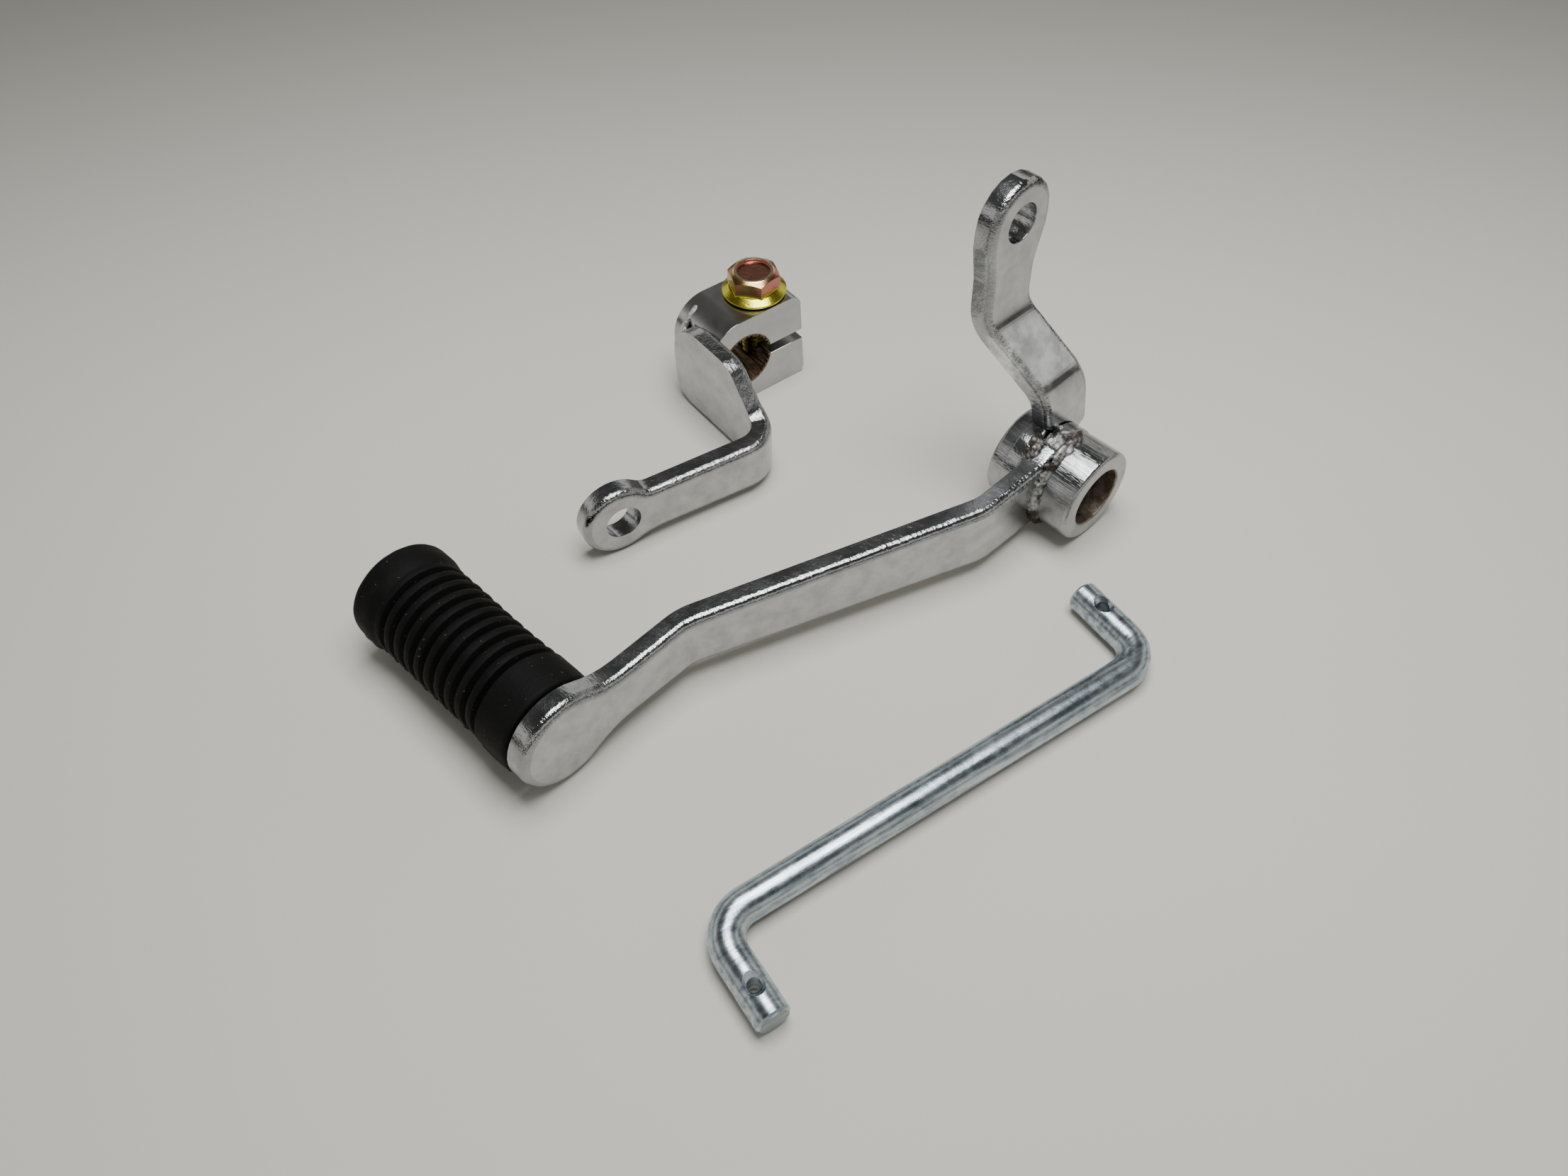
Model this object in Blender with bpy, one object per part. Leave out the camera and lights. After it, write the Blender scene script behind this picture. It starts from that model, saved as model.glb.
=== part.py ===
"""Gear shift lever kit: a shift lever with its rocker arm, a splined clamp arm with its pinch bolt,
and a bent link rod, lying side by side on a surface.

Metres, +Z up. The lever's pivot and peg axes run along Y, the lever along X. The finished kit is centred
over the origin and rests on Z = 0.
"""

import math

import bmesh
import bpy
from mathutils import Matrix, Vector

GAP = 0.0003  # clearance between pieces that touch

# Pivot bush and rear collar
BUSH_R = 0.0095
BUSH_EDGE = 0.0009  # radius of the bush's rounded front edge
BUSH_BORE_R = 0.0060
BUSH_FRONT = 0.0076  # length of the full-diameter part, in front of the bar
SPIGOT_R = 0.0076
COLLAR_LENGTH = 0.0029
PLATE_EYE_R = 0.0097  # outside radius of the bar's and the rocker arm's eyes
BUSH_WELD_ARC = (math.radians(78), math.radians(226))  # where the bead runs round the bush, from +X

# Lever bar
BAR_THICK = 0.0040
BAR_HALF_EYE = 0.0074  # half height of the bar next to the eye
BAR_HALF_TOE = 0.0059  # half height of the bar next to the toe end
BAR_EYE_TURN = 0.0100  # rounding where the bar's edges meet the eye
BAR_TOE_TURN = 0.0160  # and where they meet the toe end
TOE_R = 0.0096
BAR_FIRST = 0.0225  # eye to first bend, along the front face
BAR_MIDDLE = 0.0590
BAR_TOE = 0.0275
BAR_BEND_1 = math.radians(19.0)
BAR_BEND_2 = math.radians(-21.5)
BAR_BEND_R = 0.0120

# Rocker arm
ROCKER_THICK = 0.0040
ROCKER_HALF = 0.0061
ROCKER_FIRST = 0.0179  # pivot axis to first bend
ROCKER_MIDDLE = 0.0176
ROCKER_TOP = 0.0193
ROCKER_BEND = math.radians(40.5)
ROCKER_BEND_R = 0.0090
ROCKER_FOOT_SHIFT = 0.0050  # how far the strip's centre line passes in front of the pivot axis
ROCKER_HEAD_SHIFT = -0.0042  # and its head behind it
ROCKER_FRONT_EDGE = ((0.0004, 0.0055, 0.0016), (-0.0016, 0.0139, 0.0300))
ROCKER_BACK_EDGE = (0.0012, 0.0119, 0.0300)
# ^ corners beside the foot: out from the strip's half width, height above the pivot, and rounding
ROCKER_KNEE = (0.0002, 0.0010, 0.0200)  # the same at the upper bend, with the height from that bend
ROCKER_NECK = (-0.0002, -0.0100, 0.0120)  # and below the head, with the height from the hole
ROCKER_CHEEK = (-0.0030, 0.0060)  # height from the hole and rounding where the head reaches its width
ROCKER_WELD_ARC = (math.radians(112), math.radians(130))
ROCKER_EYE_ARC = (math.pi / 2 + 0.16, math.tau + 0.369)  # the eye's round, clear of the strip
ARM_EYE_R = 0.0076
ARM_EYE_ROUND = ARM_EYE_R * 0.98  # just under the full radius, so that the two roundings stay apart
ARM_HOLE_R = 0.00355

# Toe peg and rubber
PEG_R = 0.0060
PEG_EDGE = 0.0015  # radius of its rounded end
RUBBER_R = 0.0100
RUBBER_LENGTH = 0.0436
RUBBER_COLLAR_R = 0.0097
RUBBER_RIB_R = 0.0095
RUBBER_COLLAR = 0.0080
RUBBER_BAND = 0.0062  # smooth band at the free end
RUBBER_RIBS = 10
RUBBER_RIB = ((0.12, 0.0013), (0.34, 0.0013), (0.50, 0.0003), (0.72, 0.0), (0.94, 0.0003))
# ^ one rib's section: share of the pitch, and depth below the rib's top
RUBBER_LIP = 0.0008  # chamfer round the end next to the bar
RUBBER_EDGE = 0.0018  # radius round the free end
RUBBER_RISE = 0.0012  # length over which the band at the free end swells
PEG_PROUD = 0.0010

# Clamp arm
CLAMP_HEIGHT = 0.0210
CLAMP_DEPTH = 0.0136
CLAMP_BACK = 0.0090  # spline axis to the round side
CLAMP_ROUND = 0.0078  # radius of the round side's corners
EAR_TOP_REACH = 0.0142  # spline axis to the ends of the ears, at the top
EAR_FOOT_REACH = 0.0153  # and at the foot
EAR_TOP_CORNER = 0.0026
EAR_FOOT_CORNER = 0.0018
SLIT = 0.0023
SPLINE_R = 0.0062
SPLINE_TEETH = 34
SPLINE_TOOTH = 0.0005
BOLT_REACH = 0.0073  # spline axis to bolt axis

STRIP_THICK = 0.0040
STRIP_OFFSET = 0.0072  # spline axis to the strip's near face
STRIP_LAP = 0.0104  # how far the strip reaches back past the clamp's front face
STRIP_OUT = 0.0223  # clamp's front face to the bend, on the mid surface
STRIP_ACROSS = 0.0355  # bend to the rod hole
STRIP_LOW = 0.0018  # height of the strip's lower edge, past its root
STRIP_DEPTH = 0.0105
STRIP_BEND = math.radians(96.3)
STRIP_BEND_R = 0.0062
STRIP_SHOULDER = (0.0090, 0.0165)  # where the deep root starts and stops tapering, from the clamp's face
STRIP_SHOULDER_TURNS = (0.0060, 0.0050)  # rounding at those two places
STRIP_ROOT_CORNERS = (0.0085, 0.0050)
STRIP_EYE_TURNS = (0.0040, 0.0140)  # rounding where the strip's upper and lower edges meet the eye
ARM_WELD_ARC = (math.radians(190), math.radians(135))

# Pinch bolt, M6 with a flange
BOLT_R = 0.0030
BOLT_HOLE_R = BOLT_R + GAP
BOLT_LENGTH = 0.0200
BOLT_TIP = 0.0006
FLANGE_R = 0.0068
FLANGE_RIM = 0.0005
FLANGE_EDGE = 0.0002
FLANGE_THICK = 0.0015
FLANGE_MEETS = 0.95  # where its cone meets the head, as a share of the head's corner radius
HEX_ACROSS_FLATS = 0.0098
HEX_TURN = math.radians(40)
HEAD_HEIGHT = 0.0050
CROWN_R = 0.0041  # flat ring on top, inside the corners' chamfer
CROWN_SLOPE = 0.55  # fall of that chamfer for each unit outwards
DISH_R = 0.0036
DISH_DEPTH = 0.0006

# Link rod
ROD_R = 0.0030
ROD_SPAN = 0.0905  # corner to corner
ROD_LEG = 0.0178
ROD_BEND_R = 0.0060
ROD_HOLE_R = 0.00115
ROD_HOLE_AT = 0.0122  # corner to cross hole
COUNTERSINK_R = 0.0016
ROD_TIP_CHAMFER = 0.0006

WELD_R = 0.0009
PEG_WELD_R = 0.0006
CUTTER_REACH = 0.0300  # longer than any wall that a cutter passes

# Layout on the surface, from the foot of the pivot's front end
CLAMP_AT = (-0.0215, 0.0750)
CLAMP_TURN = math.radians(-6.2)
ROD_CORNER = (-0.1081, -0.0109)
ROD_TURN = math.radians(-10.5)

# Worked-out places
PIVOT_Z = PLATE_EYE_R
PEG_Z = RUBBER_R
BAR_FRONT_Y = BUSH_FRONT + GAP
ROCKER_FRONT_Y = BAR_FRONT_Y + BAR_THICK + GAP
COLLAR_Y = ROCKER_FRONT_Y + ROCKER_THICK + GAP
BUSH_END_Y = COLLAR_Y + COLLAR_LENGTH
PLATE_HOLE_R = SPIGOT_R + GAP
CLAMP_Z = CLAMP_HEIGHT / 2
STRIP_EYE_Z = ARM_EYE_R
STRIP_MID_Z = STRIP_LOW + STRIP_DEPTH / 2
STRIP_SAVED = STRIP_BEND_R * (math.tan(STRIP_BEND / 2) - STRIP_BEND / 2)  # what the bend saves on a leg
STRIP_BEND_AT = STRIP_LAP + STRIP_OUT - STRIP_SAVED
STRIP_HOLE_AT = STRIP_BEND_AT + STRIP_ACROSS - STRIP_SAVED
BAR_LENGTH = BAR_FIRST + BAR_MIDDLE + BAR_TOE

CHROME = ("chrome", (0.62, 0.62, 0.61), 0.16, 1.0)
SPATTER = ("weld", (0.16, 0.14, 0.12), 0.55, 0.7)
BLACK_RUBBER = ("rubber", (0.018, 0.018, 0.018), 0.72, 0.0)
YELLOW_ZINC = ("yellow_zinc", (0.55, 0.47, 0.16), 0.30, 1.0)
BRIGHT_ZINC = ("bright_zinc", (0.60, 0.63, 0.68), 0.36, 1.0)
DARK_STEEL = ("steel", (0.30, 0.29, 0.28), 0.40, 1.0)


def clear_scene():
    for obj in list(bpy.data.objects):
        bpy.data.objects.remove(obj, do_unlink=True)


def new_collection(name):
    collection = bpy.data.collections.new(name)
    bpy.context.scene.collection.children.link(collection)
    return collection


def material_for(name, finish):
    kind, colour, roughness, metallic = finish
    material = bpy.data.materials.new(name + "_" + kind)
    material.use_nodes = True
    shader = material.node_tree.nodes["Principled BSDF"]
    shader.inputs["Base Color"].default_value = (*colour, 1.0)
    shader.inputs["Roughness"].default_value = roughness
    shader.inputs["Metallic"].default_value = metallic
    return material


def add_object(name, bm, finish, parent, collection):
    """Turns a bmesh into a named object with its own material."""
    bmesh.ops.recalc_face_normals(bm, faces=bm.faces)
    mesh = bpy.data.meshes.new(name)
    bm.to_mesh(mesh)
    bm.free()
    mesh.shade_smooth()
    mesh.set_sharp_from_angle(angle=math.radians(35))
    obj = bpy.data.objects.new(name, mesh)
    collection.objects.link(obj)
    obj.parent = parent
    if finish:
        mesh.materials.append(material_for(name, finish))
    return obj


def add_cutter(name, bm, parent):
    cutter = add_object(name, bm, None, parent, CUTTERS)
    cutter.hide_render = True
    cutter.display_type = "WIRE"
    return cutter


def cut(obj, cutter):
    boolean = obj.modifiers.new(cutter.name, "BOOLEAN")
    boolean.operation = "DIFFERENCE"
    boolean.object = cutter


def join(obj, other):
    boolean = obj.modifiers.new(other.name, "BOOLEAN")
    boolean.operation = "UNION"
    boolean.object = other


def empty(name, place, turn=0.0, parent=None):
    anchor = bpy.data.objects.new(name, None)
    PARTS.objects.link(anchor)
    anchor.location = place
    anchor.rotation_euler.z = turn
    anchor.parent = parent
    return anchor


def arc(centre, radius, start, end, steps):
    """Points along an arc in a plane, with both ends."""
    angles = [start + (end - start) * i / steps for i in range(steps + 1)]
    return [(centre[0] + radius * math.cos(a), centre[1] + radius * math.sin(a)) for a in angles]


def rounded(corners, steps=6):
    """A closed outline through corners (x, y, radius), each corner rounded to its radius."""
    points = []
    for i, (x, y, radius) in enumerate(corners):
        here = Vector((x, y))
        before = (Vector(corners[i - 1][:2]) - here).normalized()
        after = (Vector(corners[(i + 1) % len(corners)][:2]) - here).normalized()
        if radius == 0:
            points.append((x, y))
            continue
        half = before.angle(after) / 2
        centre = here + (before + after).normalized() * radius / math.sin(half)
        first = here + before * radius / math.tan(half) - centre
        sweep = first.angle_signed(here + after * radius / math.tan(half) - centre)
        for k in range(steps + 1):
            spoke = first.copy()
            spoke.rotate(Matrix.Rotation(-sweep * k / steps, 2))
            points.append(tuple(centre + spoke))
    return points


def round_end(radius, half, blend, steps=12, rise=0.0):
    """Upper edge of a round end, from its tip at -X to where the edge runs straight at height half.

    The round's centre stands at x = 0, raised above the strip's centre line by rise.
    """
    reach = math.sqrt((radius + blend) ** 2 - (half + blend - rise) ** 2)
    meet = math.atan2(half + blend - rise, reach)
    points = arc((0, rise), radius, math.pi, meet, steps)
    return points + arc((reach, half + blend), blend, meet + math.pi, 1.5 * math.pi, 4)[1:]


def blank(outline, thick):
    """A flat plate: outline in X and Z, half its thickness on each side of Y = 0."""
    bm = bmesh.new()
    face = bm.faces.new([bm.verts.new((x, -thick / 2, z)) for x, z in outline])
    grown = bmesh.ops.extrude_face_region(bm, geom=[face])["geom"]
    top = [v for v in grown if isinstance(v, bmesh.types.BMVert)]
    bmesh.ops.translate(bm, verts=top, vec=(0, thick, 0))
    return bm


def score(bm, normal, places):
    """Cuts a plate's faces across at each place along the normal, so that it can bend there."""
    for place in places:
        geom = bm.verts[:] + bm.edges[:] + bm.faces[:]
        bmesh.ops.bisect_plane(bm, geom=geom, plane_co=normal * place, plane_no=normal)


def bend_lines(folds, steps=6):
    """Places across a strip that its bends need, for folds of (place, angle, radius)."""
    lines = []
    for place, angle, radius in folds:
        half = radius * abs(angle) / 2
        lines += [place - half + 2 * half * i / steps for i in range(steps + 1)]
    return lines


def folded(along, off, folds):
    """Where a point of a strip goes: its distance along the mid surface and off it, after the folds."""
    at = Vector((0.0, 0.0))
    heading, done = 0.0, 0.0
    for place, angle, radius in folds:
        half = radius * abs(angle) / 2
        if along <= place - half:
            break
        at += Vector((math.cos(heading), math.sin(heading))) * (place - half - done)
        part = min(along, place + half) - (place - half)
        turn = math.copysign(part / radius, angle)
        side = math.copysign(radius, angle)
        after = heading + turn
        at += side * Vector((math.sin(after) - math.sin(heading), math.cos(heading) - math.cos(after)))
        heading = after
        done = place - half + part
    at += Vector((math.cos(heading), math.sin(heading))) * (along - done)
    return at + off * Vector((-math.sin(heading), math.cos(heading))), heading


def drum(radius, start, end, steps=48, axis="Y"):
    """A round bar along an axis from start to end."""
    bm = bmesh.new()
    bmesh.ops.create_cone(
        bm, cap_ends=True, segments=steps, radius1=radius, radius2=radius, depth=end - start
    )
    bmesh.ops.translate(bm, verts=bm.verts, vec=(0, 0, (start + end) / 2))
    if axis == "Y":
        bmesh.ops.rotate(bm, verts=bm.verts, matrix=Matrix.Rotation(-math.pi / 2, 3, "X"))
    return bm


def turned(profile, steps=48):
    """A solid turned about Y from a closed profile of (radius, y) points."""
    bm = bmesh.new()
    verts = [bm.verts.new((radius, y, 0)) for radius, y in profile]
    ring = [bm.edges.new((a, b)) for a, b in zip(verts, verts[1:] + verts[:1]) if a.co.x > 0 or b.co.x > 0]
    bmesh.ops.spin(
        bm, geom=verts + ring, cent=(0, 0, 0), axis=(0, 1, 0), steps=steps, angle=math.tau, use_merge=True
    )
    bmesh.ops.remove_doubles(bm, verts=bm.verts, dist=1e-6)
    return bm


def swept(points, radii, flat, closed=False, steps=8):
    """A round section carried along points that lie in the plane across flat, with a radius at each point."""
    bm = bmesh.new()
    rings = []
    count = len(points)
    for i, (point, radius) in enumerate(zip(points, radii)):
        ahead = points[(i + 1) % count] if closed or i + 1 < count else point
        behind = points[i - 1] if closed or i else point
        forward, backward = (ahead - point).normalized(), (point - behind).normalized()
        side = (forward + backward).normalized().cross(flat)
        bends = forward.length and backward.length
        wide = radius / math.cos(forward.angle(backward) / 2) if bends else radius
        spokes = arc((0, 0), 1, 0, math.tau, steps)[:-1]
        rings.append([bm.verts.new(point + wide * c * side + radius * s * flat) for c, s in spokes])
    pairs = list(zip(rings, rings[1:])) + ([(rings[-1], rings[0])] if closed else [])
    for a, b in pairs:
        for k in range(steps):
            bm.faces.new((a[k], a[(k + 1) % steps], b[(k + 1) % steps], b[k]))
    if not closed:
        bm.faces.new(rings[0])
        bm.faces.new(rings[-1])
    return bm


def bead(points, radius, flat=Vector((0, 1, 0)), closed=False):
    """A weld bead along points, thinner at its two ends unless it closes on itself."""
    radii = [radius] * len(points)
    if not closed:
        radii[0] = radii[-1] = radius / 2
    return swept(points, radii, flat, closed)


def move(bm, vec):
    bmesh.ops.translate(bm, verts=bm.verts, vec=vec)
    return bm


# ---------------------------------------------------------------- lever


def bar_folds():
    return [(BAR_FIRST, BAR_BEND_1, BAR_BEND_R), (BAR_FIRST + BAR_MIDDLE, BAR_BEND_2, BAR_BEND_R)]


def bar_point(along, off, up):
    """A place on the lever bar: distance from the pivot, off the mid surface towards the back, and height."""
    (run, out), _ = folded(along, off, bar_folds())
    rise = (PEG_Z - PIVOT_Z) * along / BAR_LENGTH
    return Vector((-run, BAR_FRONT_Y + BAR_THICK / 2 + out, PIVOT_Z + rise + up))


def peg_frame():
    """Centre of the toe end on the bar's back face, and the peg's heading."""
    _, heading = folded(BAR_LENGTH, 0, bar_folds())
    return bar_point(BAR_LENGTH, BAR_THICK / 2, 0), heading


def make_lever_bar(root):
    eye = round_end(PLATE_EYE_R, BAR_HALF_EYE, BAR_EYE_TURN)
    toe = [(BAR_LENGTH - x, z) for x, z in reversed(round_end(TOE_R, BAR_HALF_TOE, BAR_TOE_TURN))]
    upper = eye + toe
    outline = upper + [(x, -z) for x, z in reversed(upper[1:-1])]
    bm = blank(outline, BAR_THICK)
    score(bm, Vector((1, 0, 0)), bend_lines(bar_folds()))
    for vert in bm.verts:
        vert.co = bar_point(*vert.co)
    bar = add_object("lever_bar", bm, CHROME, root, PARTS)
    hole = drum(PLATE_HOLE_R, BAR_FRONT_Y - CUTTER_REACH, BAR_FRONT_Y + CUTTER_REACH)
    cut(bar, add_cutter("bar_eye_cutter", move(hole, (0, 0, PIVOT_Z)), root))


def make_pivot_bush(root):
    profile = [
        (BUSH_BORE_R, 0.0),
        *reversed(arc((BUSH_R - BUSH_EDGE, BUSH_EDGE), BUSH_EDGE, 0, -math.pi / 2, 4)),
        (BUSH_R, BUSH_FRONT),
        (SPIGOT_R, BUSH_FRONT),
        (SPIGOT_R, BUSH_END_Y),
        (BUSH_BORE_R, BUSH_END_Y),
    ]
    add_object("pivot_bush", move(turned(profile), (0, 0, PIVOT_Z)), CHROME, root, PARTS)
    ring = [
        (PLATE_HOLE_R, COLLAR_Y),
        (BUSH_R, COLLAR_Y),
        *arc((BUSH_R - BUSH_EDGE, BUSH_END_Y - BUSH_EDGE), BUSH_EDGE, 0, math.pi / 2, 4),
        (PLATE_HOLE_R, BUSH_END_Y),
    ]
    add_object("rear_collar", move(turned(ring), (0, 0, PIVOT_Z)), CHROME, root, PARTS)


def rocker_folds():
    first = (ROCKER_FIRST, ROCKER_BEND, ROCKER_BEND_R)
    return [first, (ROCKER_FIRST + ROCKER_MIDDLE, -ROCKER_BEND, ROCKER_BEND_R)]


def rocker_point(across, off, along):
    (run, out), _ = folded(along, off, rocker_folds())
    return Vector((across, ROCKER_FRONT_Y + ROCKER_THICK / 2 + out, PIVOT_Z + run))


def rocker_hole():
    """Centre of the rod hole, on the mid surface."""
    return rocker_point(ROCKER_HEAD_SHIFT, 0, ROCKER_FIRST + ROCKER_MIDDLE + ROCKER_TOP)


def make_rocker_arm(root):
    head = ROCKER_FIRST + ROCKER_MIDDLE + ROCKER_TOP
    knee = ROCKER_FIRST + ROCKER_MIDDLE
    foot = arc((0, 0), PLATE_EYE_R, ROCKER_EYE_ARC[0], ROCKER_EYE_ARC[1], 26)

    def side(sign):
        """The corners of one edge from the knee to the tip: sign is 1 in front and -1 behind."""
        (knee_out, knee_up, knee_r), (neck_out, neck_up, neck_r) = ROCKER_KNEE, ROCKER_NECK
        knee_out = knee_out if sign > 0 else -knee_out
        neck_out = neck_out if sign > 0 else -neck_out
        return [
            (ROCKER_HEAD_SHIFT + sign * (ROCKER_HALF + knee_out), knee + knee_up, knee_r),
            (ROCKER_HEAD_SHIFT + sign * (ROCKER_HALF + neck_out), head + neck_up, neck_r),
            (ROCKER_HEAD_SHIFT + sign * ARM_EYE_R, head + ROCKER_CHEEK[0], ROCKER_CHEEK[1]),
            (ROCKER_HEAD_SHIFT + sign * ARM_EYE_R, head + ARM_EYE_R, ARM_EYE_ROUND),
        ]

    front = [(ROCKER_FOOT_SHIFT + ROCKER_HALF + out, up, turn) for out, up, turn in ROCKER_FRONT_EDGE]
    out, up, turn = ROCKER_BACK_EDGE
    back = (ROCKER_FOOT_SHIFT - ROCKER_HALF - out, up, turn)
    corners = [(*foot[-1], 0)] + front + side(1) + side(-1)[::-1] + [back, (*foot[0], 0)]
    sides = rounded(corners, 5)
    bm = blank(sides + foot[1:-1], ROCKER_THICK)
    score(bm, Vector((0, 0, 1)), bend_lines(rocker_folds()))
    for vert in bm.verts:
        vert.co = rocker_point(*vert.co)
    arm = add_object("rocker_arm", bm, CHROME, root, PARTS)
    eye = drum(PLATE_HOLE_R, ROCKER_FRONT_Y - CUTTER_REACH, ROCKER_FRONT_Y + CUTTER_REACH)
    cut(arm, add_cutter("rocker_eye_cutter", move(eye, (0, 0, PIVOT_Z)), root))
    hole = move(drum(ARM_HOLE_R, -CUTTER_REACH / 2, CUTTER_REACH / 2, 32), rocker_hole())
    cut(arm, add_cutter("rocker_hole_cutter", hole, root))


def make_lever_welds(root):
    def around(radius, y, start, end, steps):
        """Places round the pivot axis at a radius and a depth."""
        return [Vector((x, y, PIVOT_Z + z)) for x, z in arc((0, 0), radius, start, end, steps)]

    y = BAR_FRONT_Y - GAP - WELD_R
    points = around(BUSH_R + GAP + WELD_R, y, *BUSH_WELD_ARC, 18)
    add_object("bush_weld", bead(points, WELD_R), SPATTER, root, PARTS)
    y = ROCKER_FRONT_Y - GAP / 2
    points = around(PLATE_EYE_R + GAP + WELD_R, y, *ROCKER_WELD_ARC, 5)
    add_object("rocker_weld", bead(points, WELD_R), SPATTER, root, PARTS)


def make_peg(root):
    place, heading = peg_frame()
    peg = empty("peg_axis", place, -heading, root)
    dome = arc((PEG_R - PEG_EDGE, RUBBER_LENGTH + PEG_PROUD), PEG_EDGE, 0, math.pi / 2, 4)
    profile = [(0, GAP), (PEG_R, GAP)] + dome + [(0, dome[-1][1])]
    add_object("peg_pin", turned(profile, 40), DARK_STEEL, peg, PARTS)
    ring = PEG_R + GAP + PEG_WELD_R
    points = [Vector((x, 2 * GAP + PEG_WELD_R, z)) for x, z in arc((0, 0), ring, 0, math.tau, 32)[:-1]]
    add_object("peg_weld", bead(points, PEG_WELD_R, closed=True), SPATTER, peg, PARTS)
    make_rubber(peg)


def make_rubber(peg):
    start, end = 2 * GAP, RUBBER_LENGTH
    recess_r = PEG_R + 2 * (GAP + PEG_WELD_R) + GAP
    recess = start + 2 * PEG_WELD_R + 2 * GAP
    profile = [(recess_r, recess), (recess_r, start), (RUBBER_COLLAR_R - RUBBER_LIP, start)]
    profile += [(RUBBER_COLLAR_R, start + RUBBER_LIP), (RUBBER_COLLAR_R, RUBBER_COLLAR)]
    pitch = (end - RUBBER_BAND - RUBBER_COLLAR) / RUBBER_RIBS
    for i in range(RUBBER_RIBS):
        y = RUBBER_COLLAR + pitch * i
        profile += [(RUBBER_RIB_R - depth, y + share * pitch) for share, depth in RUBBER_RIB]
    profile += [(RUBBER_R, end - RUBBER_BAND + RUBBER_RISE)]
    profile += arc((RUBBER_R - RUBBER_EDGE, end - RUBBER_EDGE), RUBBER_EDGE, 0, math.pi / 2, 4)
    profile += [(PEG_R + GAP, end), (PEG_R + GAP, recess)]
    add_object("peg_rubber", turned(profile, 40), BLACK_RUBBER, peg, PARTS)


# ---------------------------------------------------------------- clamp arm


def make_clamp_block(clamp):
    outline = rounded(
        [
            (-CLAMP_BACK, 0, CLAMP_ROUND),
            (-CLAMP_BACK, CLAMP_HEIGHT, CLAMP_ROUND),
            (EAR_TOP_REACH, CLAMP_HEIGHT, EAR_TOP_CORNER),
            (EAR_FOOT_REACH, 0, EAR_FOOT_CORNER),
        ],
        10,
    )
    bm = move(blank(outline, CLAMP_DEPTH), (0, CLAMP_DEPTH / 2, 0))
    block = add_object("clamp_block", bm, CHROME, clamp, PARTS)
    star = []
    for i in range(2 * SPLINE_TEETH):
        radius = SPLINE_R - SPLINE_TOOTH * (i % 2)
        angle = math.pi * (i + 0.5) / SPLINE_TEETH
        star.append((radius * math.cos(angle), CLAMP_Z + radius * math.sin(angle)))
    spline = move(blank(star, CUTTER_REACH * 2), (0, CLAMP_DEPTH / 2, 0))
    cut(block, add_cutter("spline_cutter", spline, clamp))
    slit = box((0, -CUTTER_REACH, CLAMP_Z - SLIT / 2), (CUTTER_REACH, CUTTER_REACH, CLAMP_Z + SLIT / 2))
    cut(block, add_cutter("slit_cutter", slit, clamp))
    hole = move(drum(BOLT_HOLE_R, -CUTTER_REACH, CUTTER_REACH, 32, "Z"), (BOLT_REACH, CLAMP_DEPTH / 2, 0))
    cut(block, add_cutter("bolt_hole_cutter", hole, clamp))
    low = (-CUTTER_REACH, -CUTTER_REACH, -CUTTER_REACH)
    notch = box(low, (GAP - STRIP_OFFSET, STRIP_LAP + GAP, CUTTER_REACH))
    cut(block, add_cutter("strip_notch_cutter", notch, clamp))


def box(low, high):
    bm = bmesh.new()
    bmesh.ops.create_cube(bm, size=1)
    bmesh.ops.scale(bm, verts=bm.verts, vec=[b - a for a, b in zip(low, high)])
    return move(bm, [(a + b) / 2 for a, b in zip(low, high)])


def strip_folds():
    return [(STRIP_BEND_AT, STRIP_BEND, STRIP_BEND_R)]


def strip_point(along, off, up):
    """A place on the strip, which runs from the clamp towards -Y and then turns towards -X."""
    (run, out), _ = folded(along, off, strip_folds())
    return Vector((-(STRIP_OFFSET + STRIP_THICK / 2) - out, STRIP_LAP - run, up))


def make_shift_arm_strip(clamp):
    taper_start, taper_end = (STRIP_LAP + s for s in STRIP_SHOULDER)
    half, drop = STRIP_DEPTH / 2, STRIP_EYE_Z - STRIP_MID_Z
    tip = round_end(ARM_EYE_R, half, STRIP_EYE_TURNS[0], 14, drop)
    heel = round_end(ARM_EYE_R, half, STRIP_EYE_TURNS[1], 14, -drop)
    over = [(STRIP_HOLE_AT - x, STRIP_MID_Z + z) for x, z in reversed(tip)]
    under = [(STRIP_HOLE_AT - x, STRIP_MID_Z - z) for x, z in heel[1:]]
    top_corner, low_corner = STRIP_ROOT_CORNERS
    near = [
        (0, STRIP_LOW / 2, low_corner),
        (0, CLAMP_HEIGHT, top_corner),
        (taper_start, CLAMP_HEIGHT, STRIP_SHOULDER_TURNS[0]),
        (taper_end, STRIP_LOW + STRIP_DEPTH, STRIP_SHOULDER_TURNS[1]),
    ]
    outline = rounded([(*p, 0) for p in over + under] + near)
    bm = blank(outline, STRIP_THICK)
    score(bm, Vector((1, 0, 0)), bend_lines(strip_folds(), 8))
    for vert in bm.verts:
        vert.co = strip_point(*vert.co)
    strip = add_object("shift_arm_strip", bm, CHROME, clamp, PARTS)
    _, heading = folded(STRIP_HOLE_AT, 0, strip_folds())
    place = strip_point(STRIP_HOLE_AT, 0, STRIP_EYE_Z)
    hole = drum(ARM_HOLE_R, -CUTTER_REACH / 2, CUTTER_REACH / 2, 32)
    bmesh.ops.rotate(hole, verts=hole.verts, matrix=Matrix.Rotation(heading - math.pi / 2, 3, "Z"))
    cut(strip, add_cutter("strip_hole_cutter", move(hole, place), clamp))


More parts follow.
